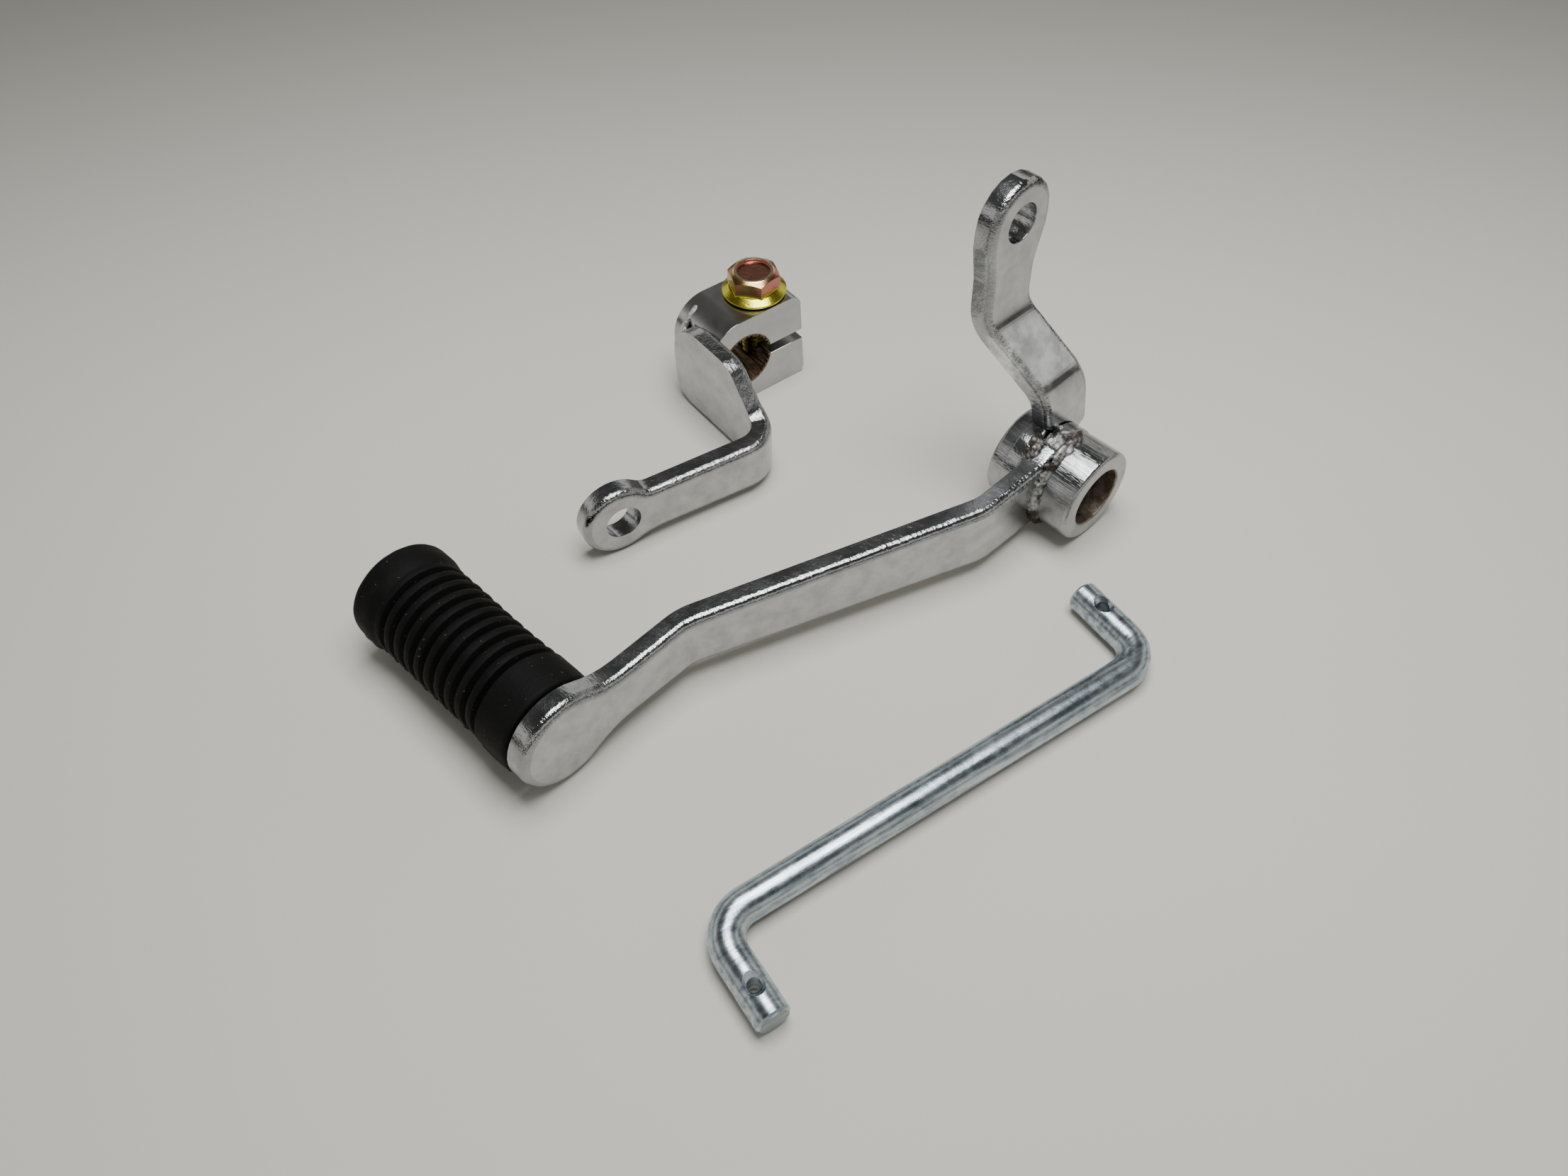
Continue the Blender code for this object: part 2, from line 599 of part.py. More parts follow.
def make_clamp_welds(clamp):
    y = STRIP_LAP + 2 * GAP + WELD_R
    corner = (CLAMP_ROUND - CLAMP_BACK, CLAMP_HEIGHT - CLAMP_ROUND)
    path = arc(corner, CLAMP_ROUND + GAP + WELD_R, *ARM_WELD_ARC, 9)
    points = [Vector((x, y, z)) for x, z in path]
    add_object("arm_weld", bead(points, WELD_R), SPATTER, clamp, PARTS)


def make_pinch_bolt(clamp):
    bolt = empty("bolt_axis", (BOLT_REACH, CLAMP_DEPTH / 2, CLAMP_HEIGHT + GAP), 0, clamp)
    corner = HEX_ACROSS_FLATS / 2 / math.cos(math.pi / 6)
    hexagon = bmesh.new()
    bmesh.ops.create_cone(
        hexagon, cap_ends=True, segments=6, radius1=corner, radius2=corner, depth=HEAD_HEIGHT - FLANGE_RIM
    )
    bmesh.ops.rotate(hexagon, verts=hexagon.verts, matrix=Matrix.Rotation(HEX_TURN, 3, "Z"))
    move(hexagon, (0, 0, (HEAD_HEIGHT + FLANGE_RIM) / 2))
    head = add_object("pinch_bolt", hexagon, YELLOW_ZINC, bolt, PARTS)
    low = HEAD_HEIGHT - (CUTTER_REACH - CROWN_R) * CROWN_SLOPE
    cone = [(CROWN_R, HEAD_HEIGHT), (CUTTER_REACH, low), (CUTTER_REACH, CUTTER_REACH), (0, CUTTER_REACH)]
    crown = turned(cone + [(0, HEAD_HEIGHT)])
    stand_up(crown)
    cut(head, add_cutter("crown_cutter", crown, bolt))
    dish = move(drum(DISH_R, 0, CUTTER_REACH, 32, "Z"), (0, 0, HEAD_HEIGHT - DISH_DEPTH))
    cut(head, add_cutter("dish_cutter", dish, bolt))
    shank = [
        (0, -BOLT_LENGTH),
        (BOLT_R - BOLT_TIP, -BOLT_LENGTH),
        (BOLT_R, BOLT_TIP - BOLT_LENGTH),
        (BOLT_R, 0),
        (FLANGE_R - FLANGE_EDGE, 0),
        (FLANGE_R, FLANGE_EDGE),
        (FLANGE_R, FLANGE_RIM),
        (corner * FLANGE_MEETS, FLANGE_THICK),
        (0, FLANGE_THICK),
    ]
    body = turned(shank)
    stand_up(body)
    join(head, add_cutter("shank_tool", body, bolt))


def stand_up(bm):
    """Turns a solid made about Y so that its axis runs along Z."""
    bmesh.ops.rotate(bm, verts=bm.verts, matrix=Matrix.Rotation(math.pi / 2, 3, "X"))


# ---------------------------------------------------------------- link rod


def make_link_rod(root):
    rod = empty("rod_corner", (*ROD_CORNER, ROD_R), ROD_TURN, root)
    near = arc((ROD_BEND_R, -ROD_BEND_R), ROD_BEND_R, math.pi, math.pi / 2, 8)
    far = arc((ROD_SPAN - ROD_BEND_R, ROD_BEND_R), ROD_BEND_R, 1.5 * math.pi, math.tau, 8)
    inner = ROD_LEG - ROD_TIP_CHAMFER
    route = [(0, -ROD_LEG), (0, -inner)] + near + far + [(ROD_SPAN, inner), (ROD_SPAN, ROD_LEG)]
    radii = [ROD_R] * len(route)
    radii[0] = radii[-1] = ROD_R - ROD_TIP_CHAMFER
    bm = swept([Vector((x, y, 0)) for x, y in route], radii, Vector((0, 0, 1)), steps=28)
    piece = add_object("link_rod", bm, BRIGHT_ZINC, rod, PARTS)
    for name, x, y in (("near", 0, -ROD_HOLE_AT), ("far", ROD_SPAN, ROD_HOLE_AT)):
        drill = turned_drill()
        cut(piece, add_cutter("rod_hole_" + name, move(drill, (x, y, 0)), rod))


def turned_drill():
    """A drill through the rod with a countersink at each side, along Z."""
    rim = math.sqrt(ROD_R**2 - COUNTERSINK_R**2)
    neck = rim - (COUNTERSINK_R - ROD_HOLE_R)
    wide, top = COUNTERSINK_R + ROD_R, rim + ROD_R
    profile = [(0, -top), (wide, -top), (ROD_HOLE_R, -neck), (ROD_HOLE_R, neck), (wide, top), (0, top)]
    bm = turned(profile, 24)
    stand_up(bm)
    return bm


def centre_kit(root):
    """Slides the whole kit so that its box is centred over the origin and stands on Z = 0."""
    bpy.context.view_layer.update()
    graph = bpy.context.evaluated_depsgraph_get()
    corners = []
    for obj in PARTS.objects:
        if obj.type == "MESH":
            shape = obj.evaluated_get(graph)
            mesh = shape.to_mesh()
            corners += [shape.matrix_world @ v.co for v in mesh.vertices]
            shape.to_mesh_clear()
    low = [min(c[i] for c in corners) for i in range(3)]
    high = [max(c[i] for c in corners) for i in range(3)]
    root.location = (-(low[0] + high[0]) / 2, -(low[1] + high[1]) / 2, -low[2])
    bpy.context.view_layer.update()
    print("kit origin moved by", [round(v, 6) for v in root.location])


clear_scene()
PARTS = new_collection("gear_shift_lever")
CUTTERS = new_collection("cutters")
kit = empty("kit", (0, 0, 0))
make_lever_bar(kit)
make_pivot_bush(kit)
make_rocker_arm(kit)
make_lever_welds(kit)
make_peg(kit)
clamp_frame = empty("clamp_frame", (*CLAMP_AT, 0), CLAMP_TURN, kit)
make_clamp_block(clamp_frame)
make_shift_arm_strip(clamp_frame)
make_clamp_welds(clamp_frame)
make_pinch_bolt(clamp_frame)
make_link_rod(kit)
centre_kit(kit)
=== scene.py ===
# %% Load the frame
import math
import random

import bmesh
import bpy
from mathutils import Matrix, Vector, noise


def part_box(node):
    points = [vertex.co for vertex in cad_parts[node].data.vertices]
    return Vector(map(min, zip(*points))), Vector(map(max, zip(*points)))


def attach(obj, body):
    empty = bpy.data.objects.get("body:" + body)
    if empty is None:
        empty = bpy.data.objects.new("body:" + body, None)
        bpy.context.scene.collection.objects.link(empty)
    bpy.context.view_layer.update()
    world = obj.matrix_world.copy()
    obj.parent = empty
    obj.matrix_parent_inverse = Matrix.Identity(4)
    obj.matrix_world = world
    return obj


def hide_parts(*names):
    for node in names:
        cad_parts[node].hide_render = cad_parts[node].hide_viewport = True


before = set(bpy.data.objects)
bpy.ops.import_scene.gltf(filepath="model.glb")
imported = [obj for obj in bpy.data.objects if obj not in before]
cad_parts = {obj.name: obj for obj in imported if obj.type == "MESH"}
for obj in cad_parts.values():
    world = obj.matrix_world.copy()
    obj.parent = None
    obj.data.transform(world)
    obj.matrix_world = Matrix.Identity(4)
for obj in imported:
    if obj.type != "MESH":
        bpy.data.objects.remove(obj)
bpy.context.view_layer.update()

# %% [markdown]
# # A gear shift lever kit
# Three loose things lie on a pale surface: a chromed shift lever with its rocker arm and rubber toe peg, a
# chromed clamp arm with its yellow pinch bolt, and a zinc-plated link rod. The CAD frame already holds every
# size and place. This lesson gives each piece the edges, seams and finish that the real one has.
#
# First come the values that every piece shares. Lengths are written in millimetres and multiplied by MM,
# because Blender counts in metres.

# %% Shared values
MM = 0.001
UP = Vector((0, 0, 1))
MERGE = 0.004 * MM  # corners closer than this are one corner
FLAT = math.radians(0.8)  # faces that meet flatter than this are one face
SHARP = math.radians(38)  # an edge that turns more than this is a real edge


def middle(node):
    """Centre of a CAD node's box."""
    low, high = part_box(node)
    return (low + high) / 2


# %% [markdown]
# ## The camera
# The camera looks down from the left, close to the parts, through a lens a little wider than normal. It is
# turned in three steps: tipped down, turned to its heading, and rolled a hair. Matrices multiplied in that
# order do the same as the three rotations would by hand, and can't be mixed up.

# %% Camera
CAMERA_AT = Vector((-99.67, -106.04, 180.5)) * MM
CAMERA_HEADING = math.radians(46.93)  # from +X towards +Y
CAMERA_DIP = math.radians(50.90)
CAMERA_ROLL = math.radians(-0.79)
CAMERA_LENS = 28.115

camera = bpy.data.objects.new("camera", bpy.data.cameras.new("camera"))
camera.data.lens = CAMERA_LENS
camera.data.sensor_width = 36
camera.data.clip_start = 5 * MM
aim = Matrix.Rotation(CAMERA_HEADING - math.pi / 2, 4, "Z")
tip = Matrix.Rotation(math.pi / 2 - CAMERA_DIP, 4, "X")
camera.matrix_world = Matrix.Translation(CAMERA_AT) @ aim @ tip @ Matrix.Rotation(CAMERA_ROLL, 4, "Z")
bpy.context.scene.collection.objects.link(camera)
bpy.context.scene.camera = camera
print("camera", [round(v / MM, 1) for v in camera.location], "mm")

# %% [markdown]
# ## Values inside a material
# A material is a small network of nodes. Writing it as sums reads better than a page of links, so one class
# wraps a node's output and turns +, -, * and ** into Math nodes. Every other node comes from one method of
# the finish that is being made.

# %% Finish and Wire


class Wire:
    """One value inside a finish. A sum, difference, product or power of wires adds a Math node."""

    def __init__(self, finish, socket):
        self.finish = finish
        self.socket = socket

    def math(self, operation, *values):
        return self.finish.node("ShaderNodeMath", {"operation": operation}, dict(enumerate(values)))

    def __add__(self, other):
        return self.math("ADD", self, other)

    def __sub__(self, other):
        return self.math("SUBTRACT", self, other)

    def __rsub__(self, other):
        return self.math("SUBTRACT", other, self)

    def __mul__(self, other):
        return self.math("MULTIPLY", self, other)

    def __pow__(self, other):
        return self.math("POWER", self, other)

    __radd__ = __add__
    __rmul__ = __mul__

    def band(self, low, high):
        """0 below low, 1 above high, and a smooth step between; low may be above high."""
        places = {"Value": self, "From Min": low, "From Max": high}
        return self.finish.node("ShaderNodeMapRange", {"interpolation_type": "SMOOTHSTEP"}, places)


class Finish:
    """A material under construction."""

    def __init__(self, name):
        self.material = bpy.data.materials.new(name)
        self.material.use_nodes = True
        self.tree = self.material.node_tree
        self.shader = self.tree.nodes["Principled BSDF"]

    def node(self, kind, settings=None, sockets=None, output=0):
        """Adds a node: its settings first, then the values or wires of its sockets."""
        made = self.tree.nodes.new(kind)
        for name, value in (settings or {}).items():
            setattr(made, name, value)
        for key, value in (sockets or {}).items():
            self.feed(made.inputs[key], value)
        return Wire(self, made.outputs[output])

    def feed(self, socket, value):
        if isinstance(value, Wire):
            self.tree.links.new(value.socket, socket)
        else:
            socket.default_value = value

    def place(self, origin=(0, 0, 0), turn=0.0):
        """Object coordinates, counted from an origin and along axes turned about Z."""
        point = self.node("ShaderNodeTexCoord", output=3)
        sockets = {"Vector": point, "Location": origin, "Rotation": (0, 0, turn)}
        return self.node("ShaderNodeMapping", {"vector_type": "TEXTURE"}, sockets)

    def stretched(self, point, scale):
        return self.node("ShaderNodeVectorMath", {"operation": "MULTIPLY"}, {0: point, 1: scale})

    def axis(self, point, index):
        return self.node("ShaderNodeSeparateXYZ", None, {0: point}, index)

    def cloud(self, point, scale, detail=2.0, roughness=0.5):
        """Noise from 0 to 1, with scale features to a metre."""
        sockets = {"Vector": point, "Scale": scale, "Detail": detail, "Roughness": roughness}
        return self.node("ShaderNodeTexNoise", None, sockets)

    def blend(self, share, first, second):
        """A colour between two colours."""
        return self.node("ShaderNodeMix", {"data_type": "RGBA"}, {0: share, 6: first, 7: second}, 2)

    def attribute(self, name):
        return self.node("ShaderNodeAttribute", {"attribute_name": name}, None, 2)

    def relief(self, height, depth):
        """Small ups and downs, depth metres high where height goes from 0 to 1."""
        return self.node("ShaderNodeBump", None, {"Height": height, "Distance": depth, "Strength": 1.0})

    def set(self, **sockets):
        """Feeds the shader's own sockets; an underscore stands for a space."""
        for name, value in sockets.items():
            self.feed(self.shader.inputs[name.replace("_", " ")], value)
        return self.material


def grey(value, warmth=0.0):
    """A grey as a colour, a little warmer or cooler."""
    return (value * (1 + warmth), value, value * (1 - warmth), 1.0)


# %% [markdown]
# ## Chrome plate
# The lever, the rocker arm and the clamp arm are mild steel that was stamped, welded, roughly polished and
# chromed. Chrome hides nothing: slow waves from the polishing belt bend the reflections, fine grain softens
# them, and the rolled edges left by the press are lumpy. The flat faces and the rims could have a material
# each, but the border between them would show. They share one recipe instead, and a number stored on every
# face, called rim, says how lumpy it is.

# %% Chrome
CHROME_DARK = grey(0.31, -0.025)
CHROME_BRIGHT = grey(0.52, -0.015)


def chrome(name, origin=(0, 0, 0), turn=0.0, grain=(1.0, 1.0, 1.0), lumps=620.0):
    """A chrome recipe and the wires that a special finish builds on."""
    finish = Finish(name)
    point = finish.place(origin, turn)
    drawn = finish.stretched(point, grain)
    rim = finish.attribute("rim")
    waves = finish.cloud(point, 90.0, 1.0)
    haze = finish.cloud(point, 260.0, 6.0, 0.68)
    fine = finish.cloud(point, 3200.0, 2.0)
    knocks = finish.cloud(drawn, lumps, 4.0, 0.72)
    finish.height = waves * 0.12 + fine * 0.03 + knocks * rim * 1.7
    finish.tone = (haze - rim * 0.25).band(0.10, 0.80)
    finish.rough = 0.13 + haze * 0.12 - rim * 0.06
    finish.point = point
    return finish


def plain_chrome(name, **choices):
    finish = chrome(name, **choices)
    colour = finish.blend(finish.tone, CHROME_DARK, CHROME_BRIGHT)
    relief = finish.relief(finish.height, 0.16 * MM)
    return finish.set(Base_Color=colour, Metallic=1.0, Roughness=finish.rough, Normal=relief)


# %% [markdown]
# ## Turning a CAD node into a finished piece
# A CAD node has knife-sharp edges. A real stamping has a rolled edge on the side where the punch went in
# and a small sharp one on the other. A copy of the node is merged, its flat areas are joined, and the
# outline of each side is bevelled by its own amount. A bevel modifier would treat both sides alike. The
# copy keeps the CAD node's outline and only loses metal at its corners. Faces of a rim are marked on the
# way.

# %% Copies of CAD nodes
RIM_WALL = 0.45  # how lumpy the sheared walls are, where the rolled edge is 1


def merged_copy(node):
    """The CAD node's mesh with its loose triangles merged and its flat areas joined."""
    bm = bmesh.new()
    bm.from_mesh(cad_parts[node].data)
    bmesh.ops.remove_doubles(bm, verts=bm.verts, dist=MERGE)
    bmesh.ops.dissolve_limit(bm, angle_limit=FLAT, verts=bm.verts, edges=bm.edges)
    return bm


def skins(bm):
    """Groups of faces that meet without a sharp edge, the largest first."""
    seen, groups = set(), []
    for start in bm.faces:
        if start in seen:
            continue
        seen.add(start)
        group, waiting = [], [start]
        while waiting:
            face = waiting.pop()
            group.append(face)
            for edge in face.edges:
                if edge.calc_face_angle(0) < SHARP:
                    fresh = [f for f in edge.link_faces if f not in seen]
                    seen.update(fresh)
                    waiting += fresh
        groups.append(group)
    return sorted(groups, key=lambda group: -sum(f.calc_area() for f in group))


def outline(group, least=0.0):
    """The sharp edges round a group of faces."""
    edges = {e for face in group for e in face.edges if e.calc_face_angle(0) >= SHARP}
    return [e for e in edges if e.calc_length() > least]


def soften(bm, edges, width, segments, mark, clamped=True):
    """Rounds edges and marks the new faces as rim."""
    made = bmesh.ops.bevel(
        bm, geom=edges, offset=width, offset_type="OFFSET", segments=segments, profile=0.5,
        affect="EDGES", clamp_overlap=clamped, material=-1,
    )
    rim = bm.faces.layers.float["rim"]
    for face in made["faces"]:
        face[rim] = mark


def loops(edges):
    """Splits edges into connected loops, the longest first."""
    left, found = set(edges), []
    while left:
        loop, waiting = [], [left.pop()]
        while waiting:
            edge = waiting.pop()
            loop.append(edge)
            near = [e for vert in edge.verts for e in vert.link_edges if e in left]
            left.difference_update(near)
            waiting += near
        found.append(loop)
    return sorted(found, key=lambda loop: -sum(e.calc_length() for e in loop))


def rounded_plate(bm, front, roll, burr):
    """A stamping: its front outline rolled, its back outline and its holes nearly sharp."""
    rim = bm.faces.layers.float.new("rim")
    for face in bm.faces:
        face[rim] = RIM_WALL
    sides = skins(bm)[:2]
    sides.sort(key=lambda group: -sum((f.normal * f.calc_area()).dot(front) for f in group))
    for group in sides:
        for face in group:
            face[rim] = 0.0
    rolled, *holes = loops(outline(sides[0]))
    sharp = outline(sides[1]) + [edge for hole in holes for edge in hole]
    soften(bm, sharp, burr, 2, RIM_WALL)
    soften(bm, [edge for edge in rolled if edge.is_valid], roll, 6, 1.0, clamped=False)
    return bm


def finished(name, bm, material, body, nodes):
    """Makes the bmesh a smooth-shaded piece that stands for CAD nodes and moves with a body."""
    mesh = bpy.data.meshes.new(name)
    bm.to_mesh(mesh)
    bm.free()
    mesh.shade_smooth()
    mesh.set_sharp_from_angle(angle=SHARP)
    mesh.materials.append(material)
    piece = bpy.data.objects.new(name, mesh)
    bpy.context.scene.collection.objects.link(piece)
    even = piece.modifiers.new("even_normals", "WEIGHTED_NORMAL")
    even.keep_sharp = True
    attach(piece, body)
    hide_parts(*nodes)
    print(name, len(mesh.polygons), "faces, rides on", body)


# %% [markdown]
# ## The lever bar and the clamp's strip
# Both were punched from 4 mm strip, so both go through the same steps. The side that the punch entered faces
# outwards: towards -Y on the lever, and towards +X and then -Y on the strip. Their outlines are bevelled as
# they are, in the folded shape, which is the shortest way and leaves no visible pinch at their bends.

# %% Stamped plates
ROLL = 1.5 * MM  # width of the rolled edge on the bar
ARM_ROLL = 1.35 * MM  # and on the two narrower plates
BURR = 0.25 * MM
STRIP_BURR = 0.5 * MM
FRONT = Vector((0, -1, 0))
STRIP_FRONT = Vector((1, -1, 0))

bar = rounded_plate(merged_copy("lever_bar"), FRONT, ROLL, BURR)
bar_chrome = plain_chrome("bar_chrome", grain=(1.0, 0.4, 0.4))
finished("bar_plate", bar, bar_chrome, "lever", ["lever_bar"])
strip = rounded_plate(merged_copy("shift_arm_strip"), STRIP_FRONT, ARM_ROLL, STRIP_BURR)
strip_chrome = plain_chrome("strip_chrome", grain=(1.0, 1.0, 0.4))
finished("strip_plate", strip, strip_chrome, "clamp_arm", ["shift_arm_strip"])

# %% [markdown]
# ## Rocker arm
# The rocker arm was rolled at its edges while it was still flat, and only then folded twice. The copy is
# handled in the same order: unfolded onto the flat, bevelled, scored finely where it folds, and folded
# again. Bevelling the folded shape would pinch the rolled edge on the inside of each fold.

# %% Folding
PIVOT_Z = middle("pivot_bush").z
ROCKER_MID_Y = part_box("rocker_arm")[0].y + 2.0 * MM  # half the plate's thickness behind its front face
FOLD_R = 9.0 * MM
FOLD_TURN = math.radians(40.5)
FOLDS = ((17.9 * MM, FOLD_TURN), (35.5 * MM, -FOLD_TURN))  # place up the arm, and angle towards +Y
FOLD_HALF = FOLD_R * FOLD_TURN / 2


def up_the_arm(along):
    """Where the arm's middle runs: depth, height, and its heading from upright."""
    at, heading, done = Vector((ROCKER_MID_Y, PIVOT_Z)), 0.0, 0.0
    for place, turn in FOLDS:
        start = place - FOLD_HALF
        if along <= start:
            break
        at += Vector((math.sin(heading), math.cos(heading))) * (start - done)
        part = min(along, place + FOLD_HALF) - start
        side = math.copysign(FOLD_R, turn)
        after = heading + part / side
        at += side * Vector((math.cos(heading) - math.cos(after), math.sin(after) - math.sin(heading)))
        heading, done = after, start + part
    return at + Vector((math.sin(heading), math.cos(heading))) * (along - done), heading


def fold(bm):
    for vert in bm.verts:
        at, heading = up_the_arm(vert.co.z)
        off = vert.co.y
        vert.co = (vert.co.x, at.x + off * math.cos(heading), at.y - off * math.sin(heading))


STATION = 0.2 * MM
ARM_STATIONS = [(STATION * i, *up_the_arm(STATION * i)) for i in range(-60, 360)]


def unfold(bm):
    """Undoes fold(): the nearest place on the middle line, then how far off it the point lies."""
    for vert in bm.verts:
        spot = Vector((vert.co.y, vert.co.z))
        along, at, heading = min(ARM_STATIONS, key=lambda station: (station[1] - spot).length_squared)
        for _ in range(6):
            ahead = Vector((math.sin(heading), math.cos(heading)))
            along += (spot - at).dot(ahead) * 0.85
            at, heading = up_the_arm(along)
        off = (spot - at).dot(Vector((math.cos(heading), -math.sin(heading))))
        vert.co = (vert.co.x, off, along)


# %% [markdown]
# The arm's sloping part gets a pale, cloudy patch that is a painted highlight, and the two folds show fine
# creases across the strip. Both could be painted on a texture, but a band between two heights places them
# as well, and needs no UV map.

# %% Rocker arm
FOLD_CUTS = 16  # flat steps that each fold is made of


def rocker_finish():
    """Chrome with fine creases across the two folds, and a painted highlight, a pale cloudy patch, on the
    sloping part.
    """
    finish = chrome("rocker_chrome", grain=(0.4, 0.4, 1.0))
    z = finish.axis(finish.point, 2)
    lower = z.band(22 * MM, 26 * MM) * z.band(33 * MM, 29 * MM)
    folds = lower + z.band(36 * MM, 38.5 * MM) * z.band(46 * MM, 42 * MM)
    creases = finish.cloud(finish.stretched(finish.point, (0.05, 1.0, 1.0)), 700.0, 3.0)
    patch = finish.cloud(finish.point, 190.0, 5.0, 0.6).band(0.38, 0.62)
    # A pale cloudy patch on the sloping part: a painted highlight where the slope catches the light.
    painted_highlight = z.band(27 * MM, 31 * MM) * z.band(42 * MM, 38 * MM) * patch
    colour = finish.blend(finish.tone, CHROME_DARK, CHROME_BRIGHT)
    colour = finish.blend(painted_highlight, colour, grey(0.80, -0.02))
    relief = finish.relief(finish.height + creases * folds * 0.45, 0.16 * MM)
    return finish.set(Base_Color=colour, Metallic=1.0, Roughness=finish.rough + painted_highlight * 0.08, Normal=relief)


bm = merged_copy("rocker_arm")
unfold(bm)
bmesh.ops.dissolve_limit(bm, angle_limit=FLAT, verts=bm.verts, edges=bm.edges)
rocker = rounded_plate(bm, FRONT, ARM_ROLL, BURR)
for place, _ in FOLDS:
    for step in range(FOLD_CUTS + 1):
        height = place + FOLD_HALF * (2 * step / FOLD_CUTS - 1)
        everything = rocker.verts[:] + rocker.edges[:] + rocker.faces[:]
        bmesh.ops.bisect_plane(rocker, geom=everything, plane_co=(0, 0, height), plane_no=(0, 0, 1))
fold(rocker)
finished("rocker_plate", rocker, rocker_finish(), "lever", ["rocker_arm"])

# %% [markdown]
# ## Turned pieces
# The pivot tube and the ring behind it were turned on a lathe, and Blender's spin does the same: half of
# the section is drawn once and carried round the axis. The section is drawn as short lines, with every
# corner rounded a little, because only a rounded corner catches light.

# %% Lathe


def arc(centre, radius, start, end, steps):
    """Points on an arc, both ends included, with angles in degrees."""
    turns = [math.radians(start + (end - start) * i / steps) for i in range(steps + 1)]
    return [(centre[0] + radius * math.cos(a), centre[1] + radius * math.sin(a)) for a in turns]


def lathe(section, steps=96):
    """A closed solid turned about Y from a closed section of (radius, y) points."""
    bm = bmesh.new()
    verts = [bm.verts.new((radius, y, 0)) for radius, y in section]
    lines = [bm.edges.new(pair) for pair in zip(verts, verts[1:] + verts[:1])]
    lines = [e for e in lines if max(v.co.x for v in e.verts) > 0]
    bmesh.ops.spin(
        bm, geom=verts + lines, cent=(0, 0, 0), axis=(0, 1, 0), steps=steps, angle=math.tau, use_merge=True
    )
    bmesh.ops.remove_doubles(bm, verts=bm.verts, dist=MERGE / 4)
    stray = [e for e in bm.edges if not e.link_faces]
    bmesh.ops.delete(bm, geom=stray, context="EDGES")
    bmesh.ops.recalc_face_normals(bm, faces=bm.faces)
    return bm


def marked(bm, amount):
    """Gives every face the same rim value."""
    rim = bm.faces.layers.float.new("rim")
    for face in bm.faces:
        face[rim] = amount
    return bm


# %% [markdown]
# ## Pivot tube and rear ring
# The tube carries both plates on a thinner neck that can't be seen. Its front edge is rounded, and its
# bore is left as drawn, so it is duller and browner than the outside. The outside was ground along the
# axis, which leaves streaks that run lengthways.

# %% Pivot tube
low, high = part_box("pivot_bush")
PIVOT = Vector(((low.x + high.x) / 2, 0, (low.z + high.z) / 2))
TUBE_R = (high.x - low.x) / 2
BORE_R = 6.0 * MM
NECK_R = 7.6 * MM
EDGE_R = 0.9 * MM
BAR_FACE_Y = low.y + 7.6 * MM
mouth = arc((BORE_R + 0.35 * MM, low.y + 0.35 * MM), 0.35 * MM, 180, 270, 4)
nose = arc((TUBE_R - EDGE_R, low.y + EDGE_R), EDGE_R, 270, 360, 8)
back = [(TUBE_R, BAR_FACE_Y), (NECK_R, BAR_FACE_Y), (NECK_R, high.y)]
heel = arc((BORE_R + 0.3 * MM, high.y - 0.3 * MM), 0.3 * MM, 90, 180, 4)


def tube_finish():
    """Chrome outside, and a dull brown-grey bore."""
    finish = chrome("tube_chrome", tuple(PIVOT), grain=(1.0, 0.05, 1.0), lumps=1000.0)
    x, z = (finish.axis(finish.point, i) for i in (0, 2))
    radius = (x * x + z * z) ** 0.5
    bore = radius.band(BORE_R + 0.6 * MM, BORE_R + 0.1 * MM)
    rust = finish.cloud(finish.point, 500.0, 5.0, 0.7)
    plate = finish.blend(finish.tone, CHROME_DARK, CHROME_BRIGHT)
    raw = finish.blend(rust.band(0.35, 0.65), (0.16, 0.12, 0.085, 1), (0.34, 0.30, 0.25, 1))
    colour = finish.blend(bore, plate, raw)
    rough = finish.rough * (1 - bore) + bore * (0.38 + rust * 0.25)
    relief = finish.relief(finish.height, 0.14 * MM)
    return finish.set(Base_Color=colour, Metallic=1.0, Roughness=rough, Normal=relief)


def on_pivot(bm):
    bmesh.ops.translate(bm, verts=bm.verts, vec=PIVOT)
    return bm


TUBE_FINISH = tube_finish()
tube = marked(on_pivot(lathe(mouth + nose + back + heel)), 0.55)
finished("pivot_tube", tube, TUBE_FINISH, "lever", ["pivot_bush"])

# %% [markdown]
# The ring behind the plates sits on the tube's neck and holds them from the back. It could be a cylinder
# with a hole cut in it, but the same lathe gives it a rounded rear edge at once.

# %% Rear ring
low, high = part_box("rear_collar")
low.y -= 0.3 * MM  # closes the gap that the CAD leaves in front of the ring
RING_BORE_R = NECK_R + 0.3 * MM
rim_front = [(TUBE_R, low.y)]
rim_back = arc((TUBE_R - EDGE_R, high.y - EDGE_R), EDGE_R, 0, 90, 8)
section = [(RING_BORE_R, low.y)] + rim_front + rim_back + [(RING_BORE_R, high.y)]
ring = marked(on_pivot(lathe(section)), 0.6)
finished("pivot_ring", ring, TUBE_FINISH, "lever", ["rear_collar"])

# %% [markdown]
# ## Clamp block
# The block was sawn from bar, drilled, splined with a broach and slit, then chromed. The chrome never
# reaches far into the bore, so the teeth stay brown. The sharp outer edges are softened on a copy of the
# node, but the teeth are left alone: a bevel there would close them up.

